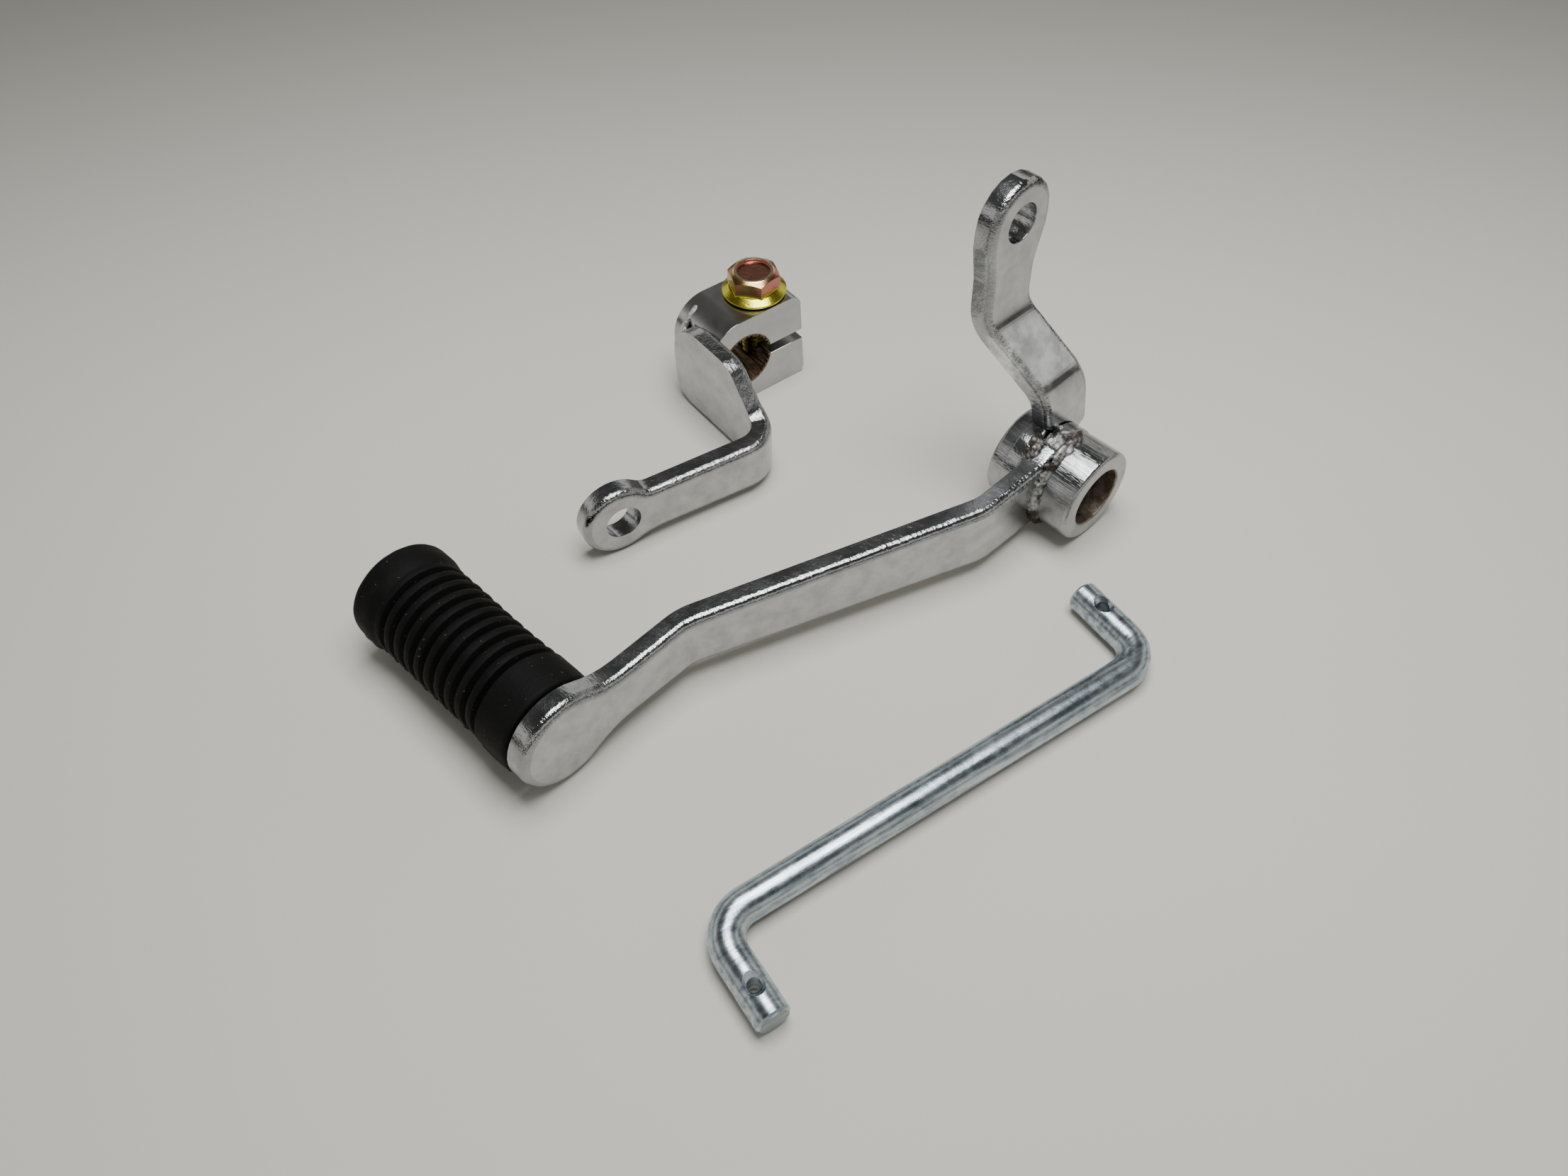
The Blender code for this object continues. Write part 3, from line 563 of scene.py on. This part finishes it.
# %% Clamp frame
CLAMP_TURN = math.radians(-6.2)
CLAMP_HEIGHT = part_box("clamp_block")[1].z
BOLT_AXIS = middle("pinch_bolt")
BOLT_FROM_BORE = Vector((7.3, 6.8, 0)) * MM  # from the clamp's own corner, on the bore's line, to the bolt
turned_clamp = Matrix.Rotation(CLAMP_TURN, 4, "Z")
CLAMP_CORNER = Vector((BOLT_AXIS.x, BOLT_AXIS.y, 0)) - turned_clamp @ BOLT_FROM_BORE
CLAMP_FRAME = Matrix.Translation(CLAMP_CORNER) @ turned_clamp
BORE_Z = CLAMP_HEIGHT / 2
SPLINE_R = 6.2 * MM
BLOCK_EDGE = 0.45 * MM
print("clamp corner", [round(v / MM, 2) for v in CLAMP_CORNER])


def clamp_finish():
    finish = chrome("clamp_chrome", tuple(CLAMP_CORNER + BORE_Z * UP), CLAMP_TURN, lumps=500.0)
    x, y, z = (finish.axis(finish.point, i) for i in range(3))
    radius = (x * x + z * z) ** 0.5
    bore = radius.band(SPLINE_R + 0.35 * MM, SPLINE_R + 0.05 * MM)
    crust = finish.cloud(finish.stretched(finish.point, (1.0, 0.25, 1.0)), 1300.0, 4.0, 0.65)
    stain = finish.cloud(finish.point, 260.0, 4.0).band(0.50, 0.68) * x.band(1.5 * MM, -6 * MM)
    stain = stain * z.band(9.5 * MM, 10.4 * MM)
    plate = finish.blend(finish.tone, grey(0.40), grey(0.50))
    plate = finish.blend(stain * 0.55, plate, (0.30, 0.22, 0.14, 1))
    brown = finish.blend(crust.band(0.35, 0.68), (0.050, 0.032, 0.020, 1), (0.26, 0.18, 0.11, 1))
    colour = finish.blend(bore, plate, brown)
    rough = (finish.rough + 0.05) * (1 - bore) + bore * (0.35 + crust * 0.3)
    relief = finish.relief(finish.height * 0.8 + crust * bore, 0.12 * MM)
    return finish.set(Base_Color=colour, Metallic=1.0, Roughness=rough, Normal=relief)


# %% [markdown]
# The block is a merged copy of its node. Only edges outside the splined bore are picked, by their distance
# from the bore's axis, and rounded a little. Modelling the block again would risk moving its slit.

# %% Clamp block
bm = merged_copy("clamp_block")
rim = bm.faces.layers.float.new("rim")
to_clamp = CLAMP_FRAME.inverted()
edges = []
for edge in bm.edges:
    if edge.calc_face_angle(0) < SHARP:
        continue
    spot = to_clamp @ ((edge.verts[0].co + edge.verts[1].co) / 2)
    if math.hypot(spot.x, spot.z - BORE_Z) > SPLINE_R + 0.9 * MM:
        edges.append(edge)
soften(bm, edges, BLOCK_EDGE, 3, 0.6)
finished("clamp_body", bm, clamp_finish(), "clamp_arm", ["clamp_block"])

# %% [markdown]
# ## Weld beads
# A bead is a row of frozen droplets. Balls of slightly different size are set along the seam, and a voxel
# remesh melts them into one skin. Smooth balls alone would look like pearls, so noise then eats into the
# skin. Random places come from a seeded generator, so that every run gives the same bead. The chrome bath
# coated the high spots and left the crevices between them dark.

# %% Weld finish


def weld_finish(name, bright, dark):
    finish = Finish(name)
    point = finish.place()
    crust = finish.cloud(point, 1100.0, 5.0, 0.65)
    patch = finish.cloud(point, 330.0, 2.0)
    share = (patch * 0.6 + crust * 0.4).band(0.42, 0.64)
    colour = finish.blend(share, dark, bright)
    relief = finish.relief(crust, 0.35 * MM)
    rough = 0.55 - share * 0.33
    return finish.set(Base_Color=colour, Metallic=0.85 + share * 0.15, Roughness=rough, Normal=relief)


PLATED_WELD = weld_finish("plated_weld", grey(0.50), (0.045, 0.036, 0.028, 1))
SMOOTH_WELD = weld_finish("smooth_weld", grey(0.72), grey(0.46))
DARK_WELD = weld_finish("dark_weld", grey(0.50, 0.03), (0.045, 0.037, 0.030, 1))


def melted(name, drops, voxel, material, nodes, body):
    """Melts droplets (place, radius) into one bead."""
    bm = bmesh.new()
    for place, radius in drops:
        ball = Matrix.Translation(place)
        bmesh.ops.create_icosphere(bm, subdivisions=2, radius=radius, matrix=ball)
    mesh = bpy.data.meshes.new(name + "_drops")
    bm.to_mesh(mesh)
    bm.free()
    drops = bpy.data.objects.new(name + "_drops", mesh)
    bpy.context.scene.collection.objects.link(drops)
    melt = drops.modifiers.new("melt", "REMESH")
    melt.mode = "VOXEL"
    melt.voxel_size = voxel
    calm = drops.modifiers.new("calm", "SMOOTH")
    calm.factor, calm.iterations = 0.5, 10
    graph = bpy.context.evaluated_depsgraph_get()
    bead = bmesh.new()
    bead.from_mesh(drops.evaluated_get(graph).to_mesh())
    bpy.data.objects.remove(drops)
    for vert in bead.verts:
        crag = noise.noise(vert.co * 620) + 0.5 * noise.noise(vert.co * 1500)
        vert.co += vert.normal * min(0.0, crag) * 0.28 * MM
    finished(name, bead, material, body, nodes)


# %% [markdown]
# The longest bead joins the bar to the tube. Its drops run round the tube in the corner between the two, and
# a second heap lies on top, beside the rocker arm's foot. Sunk into the tube, they read as one lumpy seam.

# %% Weld in front of the bar
dice = random.Random(4)


def round_pivot(angle, reach, y):
    """A place round the pivot axis: angle in degrees from +X, and distance from the axis."""
    turn = math.radians(angle)
    return PIVOT + Vector((reach * math.cos(turn), y, reach * math.sin(turn)))


drops = []
for step in range(170):
    angle = 78 + 148 * step / 169 + dice.uniform(-1.5, 1.5)
    corner = dice.random()  # 0 on the bar's face, 1 on the tube
    size = dice.uniform(0.55, 0.85) * MM
    reach = TUBE_R + (0.95 - 0.75 * corner) * MM - 0.45 * size
    depth = BAR_FACE_Y - (0.0 + 0.95 * corner) * MM + 0.35 * size
    drops.append((round_pivot(angle, reach, depth), size))
for step in range(70):
    depth = BAR_FACE_Y + dice.uniform(-1.0, 4.0) * MM
    size = dice.uniform(0.8, 1.2) * MM
    drops.append((round_pivot(dice.uniform(82, 110), TUBE_R + 0.30 * MM - 0.65 * size, depth), size))
melted("front_bead", drops, 0.12 * MM, PLATED_WELD, ["bush_weld"], "lever")

# %% [markdown]
# Where the rocker arm leaves the bar, a short bead fills the gap. It follows the diagonal of its CAD node's
# box, because the box is all that the frame says about the seam.

# %% Weld at the rocker's foot
drops = []
low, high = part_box("rocker_weld")
for step in range(24):
    share = step / 23
    spot = low.lerp(high, share)
    spot.y = (low.y + high.y) / 2
    spot += Vector((dice.uniform(-0.4, 0.4), dice.uniform(-0.9, 0.9), dice.uniform(-0.5, 0.3))) * MM
    drops.append((spot, dice.uniform(0.4, 0.75) * MM))
melted("rocker_bead", drops, 0.11 * MM, DARK_WELD, ["rocker_weld"], "lever")

# %% [markdown]
# The strip is welded to the clamp block round its rear top corner. That bead is smoother and brighter than
# the others, so its drops are nearly equal and lie close to the block's rounded shoulder.

# %% Weld behind the strip's root
SEAM_CENTRE = Vector((-1.2, 10.9, 13.2)) * MM  # centre of the clamp's rounded shoulder, at the strip's end
drops = []
for step in range(46):
    angle = math.radians(200 - 82 * step / 45)
    reach = (7.45 + 0.12 * dice.random()) * MM
    across = dice.uniform(-0.2, 0.2) * MM
    spot = SEAM_CENTRE + Vector((reach * math.cos(angle), across, reach * math.sin(angle)))
    drops.append((CLAMP_FRAME @ spot, dice.uniform(0.60, 0.72) * MM))
melted("strip_bead", drops, 0.12 * MM, SMOOTH_WELD, ["arm_weld"], "clamp_arm")

# %% [markdown]
# The bead at the root of the peg is hidden under the rubber, so it keeps its CAD shape and only needs a
# material.

# %% Weld round the peg
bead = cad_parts["peg_weld"]
bead.data.materials.clear()
bead.data.materials.append(DARK_WELD)
print("peg weld keeps its CAD shape, hidden under the rubber")

# %% [markdown]
# ## Toe peg and rubber
# The rubber is one moulding pushed over a steel pin: a smooth collar next to the bar, ten soft ribs, and a
# smooth band at the free end. It is turned like the tube. Rubber isn't as true as steel, so every point is
# then moved by a little noise. The mould's two halves left a ragged fin along the underside: one row of
# points is pulled outwards by an uneven amount.

# %% Rubber
PEG_TURN = math.radians(2.5)
PEG_LOW, PEG_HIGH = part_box("peg_rubber")
RUBBER_R = (PEG_HIGH.z - PEG_LOW.z) / 2
RUBBER_LENGTH = 43.0 * MM
PEG_FRAME = Matrix.Translation(middle("peg_rubber")) @ Matrix.Rotation(PEG_TURN, 4, "Z")
COLLAR_R = 9.7 * MM
RIB_R = 9.5 * MM
GROOVE = 1.35 * MM
RIBS = 10
COLLAR = 8.0 * MM
BAND = 6.2 * MM
RUBBER_STEPS = 120


def rubber_finish():
    finish = Finish("toe_rubber")
    point = finish.place(tuple(middle("peg_rubber")), PEG_TURN)
    grain = finish.cloud(point, 1900.0, 3.0, 0.6)
    chalk = finish.cloud(point, 210.0, 5.0, 0.65)
    dust = finish.cloud(point, 2300.0, 0.0).band(0.83, 0.86)
    x, z = (finish.axis(point, i) for i in (0, 2))
    radius = (x * x + z * z) ** 0.5
    worn = radius.band(RIB_R - 0.5 * MM, RIB_R) * chalk.band(0.45, 0.75)
    colour = finish.blend(worn, (0.0012, 0.0012, 0.0012, 1), (0.0045, 0.0044, 0.0042, 1))
    colour = finish.blend(dust * 0.8, colour, (0.10, 0.095, 0.06, 1))
    relief = finish.relief(grain + chalk * 0.8, 0.10 * MM)
    rough = 0.55 + chalk * 0.25
    return finish.set(Base_Color=colour, Roughness=rough, Normal=relief, Specular_IOR_Level=0.15)


half = RUBBER_LENGTH / 2
pitch = (RUBBER_LENGTH - COLLAR - BAND) / RIBS
section = [(6.4 * MM, -half), (COLLAR_R - 0.9 * MM, -half)]
section += arc((COLLAR_R - 0.9 * MM, 0.9 * MM - half), 0.9 * MM, 270, 360, 5)[1:]
section += [(COLLAR_R, COLLAR / 2 - half), (COLLAR_R, COLLAR - half - 0.3 * MM)]
for i in range(RIBS):
    start = COLLAR - half + pitch * i
    for share in (0.02, 0.10, 0.18, 0.26, 0.34, 0.44, 0.56, 0.68, 0.80, 0.90):
        near = abs(share - 0.22) < 0.18
        valley = max(0.0, math.cos((share - 0.22) * math.pi / 0.36)) if near else 0.0
        crown = 0.22 * MM * abs(share - 0.68) / 0.32
        section.append((RIB_R - GROOVE * valley ** 0.8 - crown * (1 - valley), start + pitch * share))
section += [(RUBBER_R - 0.25 * MM, half - BAND + 0.6 * MM), (RUBBER_R, half - BAND + 1.6 * MM)]
section += [(RUBBER_R, half - 3.2 * MM)] + arc((RUBBER_R - 1.8 * MM, half - 1.8 * MM), 1.8 * MM, 0, 90, 6)
section += [(6.4 * MM, half)]
bm = lathe(section, RUBBER_STEPS)
FIN_AT = math.radians(203)  # direction of the fin round the peg, from +X
for vert in bm.verts:
    across = Vector((vert.co.x, 0, vert.co.z))
    if across.length < 7 * MM:
        continue
    wobble = noise.noise(vert.co * 160) * 0.16 + noise.noise(vert.co * 700) * 0.05
    off = math.atan2(across.z, across.x) - FIN_AT
    off = abs(math.atan2(math.sin(off), math.cos(off)))
    ragged = 0.75 + 0.5 * noise.noise(Vector((7, vert.co.y * 420, 3)))
    fin = max(0.0, 1 - off / math.radians(3.2)) * ragged
    inside = min(1.0, (half - abs(vert.co.y)) / (1.5 * MM))
    lift = wobble * (across.length < RUBBER_R - 0.2 * MM) + 0.62 * fin * inside
    vert.co += across.normalized() * lift * MM
bmesh.ops.transform(bm, matrix=PEG_FRAME, verts=bm.verts)
for vert in bm.verts:  # neither the noise nor the fin may pass the CAD box
    vert.co.x = max(vert.co.x, PEG_LOW.x)
    vert.co.z = min(max(vert.co.z, PEG_LOW.z), PEG_HIGH.z)
finished("toe_rubber", marked(bm, 0.0), rubber_finish(), "lever", ["peg_rubber"])

# %% [markdown]
# The pin's rear end shows at the free end of the rubber: cut steel with a little rust. Its CAD shape is
# already right, so only the material is new.

# %% Peg pin


def steel_finish():
    finish = Finish("bare_steel")
    point = finish.place(tuple(middle("peg_rubber")), PEG_TURN)
    cloud = finish.cloud(point, 420.0, 5.0, 0.7)
    grain = finish.cloud(finish.stretched(point, (1.0, 0.1, 1.0)), 2600.0, 2.0)
    colour = finish.blend(cloud.band(0.35, 0.7), grey(0.30, 0.02), (0.16, 0.11, 0.08, 1))
    relief = finish.relief(grain + cloud, 0.05 * MM)
    return finish.set(Base_Color=colour, Metallic=1.0, Roughness=0.34 + cloud * 0.2, Normal=relief)


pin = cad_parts["peg_pin"]
pin.data.materials.clear()
pin.data.materials.append(steel_finish())
print("peg pin keeps its CAD shape, its end shows behind the rubber")

# %% [markdown]
# ## Pinch bolt
# A flanged M6 bolt, zinc-plated and passivated yellow. The film is thinner on some faces than on others,
# and so it runs from green-gold on the flange to rose-copper on the crown. The head is a softened copy of
# the node with its plain shank cut off. The thread is a V section spun round the axis while it rises.

# %% Bolt head
BOLT_LOW, BOLT_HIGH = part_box("pinch_bolt")
SEAT_Z = CLAMP_HEIGHT + 0.3 * MM
THREAD_R = 3.0 * MM
THREAD_PITCH = 1.0 * MM
THREAD_DEPTH = 0.58 * MM
HEAD_HEIGHT = BOLT_HIGH.z - SEAT_Z


def bolt_finish():
    finish = Finish("yellow_zinc")
    point = finish.place((BOLT_AXIS.x, BOLT_AXIS.y, SEAT_Z))
    x, y, z = (finish.axis(point, i) for i in range(3))
    radius = (x * x + y * y) ** 0.5
    film = finish.cloud(point, 330.0, 3.0)
    fine = finish.cloud(point, 1500.0, 3.0)
    colour = finish.blend(film.band(0.35, 0.65), (0.40, 0.30, 0.09, 1), (0.42, 0.21, 0.10, 1))
    dish = radius.band(3.75 * MM, 3.55 * MM) * z.band(HEAD_HEIGHT - 1.2 * MM, HEAD_HEIGHT - 0.9 * MM)
    crown = z.band(HEAD_HEIGHT - 0.25 * MM, HEAD_HEIGHT - 0.05 * MM)
    flange = z.band(2.2 * MM, 1.5 * MM)
    lean = (x * 180.0 - y * 60.0 + film * 0.6).band(-0.35, 0.75)
    side = finish.blend(lean, colour, (0.50, 0.20, 0.15, 1))
    green = finish.blend(film.band(0.3, 0.6), (0.70, 0.72, 0.05, 1), (0.62, 0.52, 0.07, 1))
    colour = finish.blend(flange, side, green)
    colour = finish.blend(crown, colour, (0.72, 0.58, 0.34, 1))
    colour = finish.blend(dish, colour, (0.46, 0.21, 0.15, 1))
    # Below the seat the bolt is painted dark brown: painted shade for the part inside the clamp.
    hidden = z.band(0.1 * MM, -0.3 * MM)
    colour = finish.blend(hidden * 0.75, colour, (0.10, 0.075, 0.03, 1))
    relief = finish.relief(fine * 0.5 + film, 0.05 * MM)
    return finish.set(Base_Color=colour, Metallic=1.0, Roughness=0.16 + fine * 0.12, Normal=relief)


YELLOW_ZINC = bolt_finish()
bm = merged_copy("pinch_bolt")
everything = bm.verts[:] + bm.edges[:] + bm.faces[:]
bmesh.ops.bisect_plane(
    bm, geom=everything, plane_co=(0, 0, SEAT_Z + 0.05 * MM), plane_no=(0, 0, 1), clear_inner=True
)
bmesh.ops.holes_fill(bm, edges=[e for e in bm.edges if e.is_boundary])
bm.faces.layers.float.new("rim")
edges = [e for e in bm.edges if e.calc_face_angle(0) > math.radians(25)]
soften(bm, edges, 0.14 * MM, 2, 0.5)
finished("bolt_head", bm, YELLOW_ZINC, "bolt", ["pinch_bolt"])

# %% [markdown]
# A screw modifier could make the thread, but a spin that also moves along the axis does it with an operator.
# Two planes cut it to length, and the turns at the tip are pushed inwards to make the lead-in.

# %% Bolt thread
TURN_STEPS = 40
turns = math.ceil((SEAT_Z - BOLT_LOW.z) / THREAD_PITCH) + 2
root_r = THREAD_R - THREAD_DEPTH
vee = ((root_r, 0.0), (root_r, 0.12), (THREAD_R, 0.44), (THREAD_R, 0.56), (root_r, 0.88), (root_r, 1.0))
bm = bmesh.new()
verts = [bm.verts.new((radius, 0, (share - 1) * THREAD_PITCH)) for radius, share in vee]
lines = [bm.edges.new(pair) for pair in zip(verts, verts[1:])]
bmesh.ops.spin(
    bm, geom=verts + lines, cent=(0, 0, 0), axis=(0, 0, 1), dvec=(0, 0, THREAD_PITCH / TURN_STEPS),
    angle=math.tau * turns, steps=TURN_STEPS * turns,
)
bmesh.ops.remove_doubles(bm, verts=bm.verts, dist=MERGE)
length = SEAT_Z + 0.4 * MM - BOLT_LOW.z
for height, normal in ((0.0, -1), (length, 1)):
    everything = bm.verts[:] + bm.edges[:] + bm.faces[:]
    bmesh.ops.bisect_plane(
        bm, geom=everything, plane_co=(0, 0, height), plane_no=(0, 0, normal), clear_outer=True
    )
bmesh.ops.holes_fill(bm, edges=[e for e in bm.edges if e.is_boundary])
for vert in bm.verts:
    limit = THREAD_R - max(0.0, 0.8 * MM - vert.co.z)
    flat = Vector((vert.co.x, vert.co.y, 0))
    if flat.length > limit:
        vert.co += flat.normalized() * (limit - flat.length)
bmesh.ops.recalc_face_normals(bm, faces=bm.faces)
bmesh.ops.translate(bm, verts=bm.verts, vec=(BOLT_AXIS.x, BOLT_AXIS.y, BOLT_LOW.z))
finished("bolt_thread", marked(bm, 0.0), YELLOW_ZINC, "bolt", ["pinch_bolt"])

# %% [markdown]
# ## Link rod
# Plain 6 mm wire, bent twice, with a split-pin hole near each end, and zinc-plated after that. A ring is
# pulled along the straights and spun round the bends. The two holes are drilled with a tool that also
# makes the countersink, because a Boolean is the simplest way to cross two round shapes.

# %% Rod
ROD_TURN = math.radians(-10.5)
ROD_R = 3.0 * MM
ROD_SPAN = 90.5 * MM
ROD_LEG = 17.8 * MM
ROD_BEND = 6.0 * MM
ROD_CHAMFER = 0.5 * MM
HOLE_R = 1.15 * MM
HOLE_AT = 12.2 * MM
COUNTERSINK_R = 1.6 * MM
ROD_FRAME = Matrix.Translation(middle("link_rod")) @ Matrix.Rotation(ROD_TURN, 4, "Z")


def rod_finish():
    finish = Finish("bright_zinc")
    point = finish.place(tuple(middle("link_rod")), ROD_TURN)
    along = finish.stretched(point, (0.10, 1.0, 1.0))
    streak = finish.cloud(along, 900.0, 4.0, 0.6)
    mottle = finish.cloud(point, 520.0, 4.0, 0.6)
    fine = finish.cloud(point, 2600.0, 2.0)
    y = finish.axis(point, 1)
    cut = (y * y).band((ROD_LEG - 0.12 * MM) ** 2, (ROD_LEG - 0.04 * MM) ** 2)
    share = (streak * 0.7 + mottle * 0.3).band(0.34, 0.62)
    colour = finish.blend(share, (0.20, 0.24, 0.27, 1), (0.52, 0.59, 0.63, 1))
    colour = finish.blend(cut * 0.7, colour, (0.30, 0.33, 0.33, 1))
    rough = 0.20 + mottle * 0.16 + cut * 0.25
    relief = finish.relief(streak * 0.5 + mottle * 0.5 + fine * 0.1 + cut * fine, 0.08 * MM)
    return finish.set(Base_Color=colour, Metallic=1.0, Roughness=rough, Normal=relief)


def pull(bm, ring, vec, share=1.0):
    """Extrudes a ring of edges along vec, with its size changed by share."""
    made = bmesh.ops.extrude_edge_only(bm, edges=ring)["geom"]
    verts = [v for v in made if isinstance(v, bmesh.types.BMVert)]
    centre = sum((v.co for v in verts), Vector()) / len(verts)
    bmesh.ops.scale(bm, verts=verts, vec=(share,) * 3, space=Matrix.Translation(-centre))
    bmesh.ops.translate(bm, verts=verts, vec=vec)
    return [e for e in made if isinstance(e, bmesh.types.BMEdge)]


def bend(bm, ring, centre, angle, steps):
    made = bmesh.ops.spin(bm, geom=ring, cent=centre, axis=(0, 0, 1), angle=angle, steps=steps)
    return [e for e in made["geom_last"] if isinstance(e, bmesh.types.BMEdge)]


bm = bmesh.new()
tip_r = ROD_R - ROD_CHAMFER
left, right = -ROD_SPAN / 2, ROD_SPAN / 2
start = Matrix.Translation((left, -ROD_LEG, 0)) @ Matrix.Rotation(math.pi / 2, 4, "X")
bmesh.ops.create_circle(bm, cap_ends=False, segments=48, radius=tip_r, matrix=start)
ring = bm.edges[:]
ring = pull(bm, ring, (0, ROD_CHAMFER, 0), ROD_R / tip_r)
for _ in range(6):
    ring = pull(bm, ring, (0, (ROD_LEG - ROD_BEND - ROD_CHAMFER) / 6, 0))
ring = bend(bm, ring, (left + ROD_BEND, -ROD_BEND, 0), -math.pi / 2, 14)
for _ in range(40):
    ring = pull(bm, ring, ((ROD_SPAN - 2 * ROD_BEND) / 40, 0, 0))
ring = bend(bm, ring, (right - ROD_BEND, ROD_BEND, 0), math.pi / 2, 14)
for _ in range(6):
    ring = pull(bm, ring, (0, (ROD_LEG - ROD_BEND - ROD_CHAMFER) / 6, 0))
pull(bm, ring, (0, ROD_CHAMFER, 0), tip_r / ROD_R)
bmesh.ops.holes_fill(bm, edges=[e for e in bm.edges if e.is_boundary])
bmesh.ops.recalc_face_normals(bm, faces=bm.faces)
print("rod", len(bm.faces), "faces before drilling")


def drill(place):
    """A drill with a countersink at both sides of the rod, upright."""
    rim = math.sqrt(ROD_R**2 - COUNTERSINK_R**2)
    neck = rim - (COUNTERSINK_R - HOLE_R)
    wide, top = COUNTERSINK_R + ROD_R, rim + ROD_R
    section = [(0, -top), (wide, -top), (HOLE_R, -neck), (HOLE_R, neck), (wide, top), (0, top)]
    tool = lathe(section, 32)
    bmesh.ops.rotate(tool, verts=tool.verts, matrix=Matrix.Rotation(math.pi / 2, 3, "X"))
    bmesh.ops.translate(tool, verts=tool.verts, vec=place)
    mesh = bpy.data.meshes.new("drill")
    tool.to_mesh(mesh)
    tool.free()
    made = bpy.data.objects.new("drill", mesh)
    bpy.context.scene.collection.objects.link(made)
    return made


mesh = bpy.data.meshes.new("rod_blank")
bm.to_mesh(mesh)
bm.free()
blank = bpy.data.objects.new("rod_blank", mesh)
bpy.context.scene.collection.objects.link(blank)
drills = [drill((left, -HOLE_AT, 0)), drill((right, HOLE_AT, 0))]
for tool in drills:
    hole = blank.modifiers.new("hole", "BOOLEAN")
    hole.operation = "DIFFERENCE"
    hole.object = tool
graph = bpy.context.evaluated_depsgraph_get()
bm = bmesh.new()
bm.from_mesh(blank.evaluated_get(graph).to_mesh())
for spare in [blank, *drills]:
    bpy.data.objects.remove(spare)
for vert in bm.verts:
    corner = min((Vector((left, 0, 0)), Vector((right, 0, 0))), key=lambda c: (vert.co - c).length)
    near = max(0.0, 1 - (vert.co - corner).length / (8 * MM))
    vert.co += vert.normal * min(0.0, noise.noise(vert.co * 420)) * near * 0.18 * MM
bmesh.ops.transform(bm, matrix=ROD_FRAME, verts=bm.verts)
finished("link_rod_zinc", marked(bm, 0.0), rod_finish(), "rod", ["link_rod"])

# %% [markdown]
# ## Stage
# A pale matt floor, a little darker at its far side, because soft light falls off there. The tone could come
# from the lamps alone, but then the chrome would change with it. A blend in the floor's own colour doesn't
# touch what the chrome shows.

# %% Floor


def floor_finish():
    finish = Finish("floor")
    point = finish.place((0, 0, 0), CAMERA_HEADING)
    shade = finish.cloud(point, 6.0, 3.0)
    near = finish.blend(shade, (0.62, 0.605, 0.555, 1), (0.66, 0.645, 0.59, 1))
    depth = finish.axis(point, 0)
    colour = finish.blend(depth.band(0.03, 0.30), near, (0.33, 0.32, 0.285, 1))
    return finish.set(Base_Color=colour, Roughness=0.75, Specular_IOR_Level=0.2)


bm = bmesh.new()
bmesh.ops.create_grid(bm, x_segments=2, y_segments=2, size=1.6)
mesh = bpy.data.meshes.new("floor")
bm.to_mesh(mesh)
bm.free()
mesh.materials.append(floor_finish())
floor = bpy.data.objects.new("floor", mesh)
bpy.context.scene.collection.objects.link(floor)

# %% [markdown]
# Chrome shows its surroundings, so the room matters more than the lamp. It is a ramp over the height of the
# direction: dark at the horizon, a bright ring a little above it, dark again from half height, and dim
# overhead. One soft lamp gives the parts their shadow. A picture of a room would be livelier, but it would
# have to be carried along as a file.

# %% Light
world = bpy.data.worlds.new("room")
world.use_nodes = True
bpy.context.scene.world = world
tree = world.node_tree
sky = tree.nodes["Background"]
direction = tree.nodes.new("ShaderNodeTexCoord")
split = tree.nodes.new("ShaderNodeSeparateXYZ")
ramp = tree.nodes.new("ShaderNodeValToRGB")
tree.links.new(direction.outputs["Generated"], split.inputs[0])
tree.links.new(split.outputs[2], ramp.inputs[0])
tree.links.new(ramp.outputs[0], sky.inputs["Color"])
ROOM = ((0.0, 0.02), (0.09, 0.04), (0.19, 1.3), (0.40, 1.7), (0.56, 0.16), (0.84, 0.09), (1.0, 0.4))
for index, (height, light) in enumerate(ROOM):
    stop = ramp.color_ramp.elements[index] if index < 2 else ramp.color_ramp.elements.new(height)
    stop.position = height
    stop.color = (light * 1.02, light, light * 0.96, 1)
sky.inputs["Strength"].default_value = 0.55


def softbox(name, place, target, size, watts):
    lamp = bpy.data.objects.new(name, bpy.data.lights.new(name, "AREA"))
    lamp.data.shape = "RECTANGLE"
    lamp.data.size, lamp.data.size_y = size
    lamp.data.energy = watts
    aim = (Vector(target) - Vector(place)).to_track_quat("-Z", "Y")
    lamp.matrix_world = Matrix.Translation(place) @ aim.to_matrix().to_4x4()
    bpy.context.scene.collection.objects.link(lamp)


softbox("panel", (0.03, -0.02, 0.37), (0.02, -0.02, 0), (0.26, 0.20), 1.75)
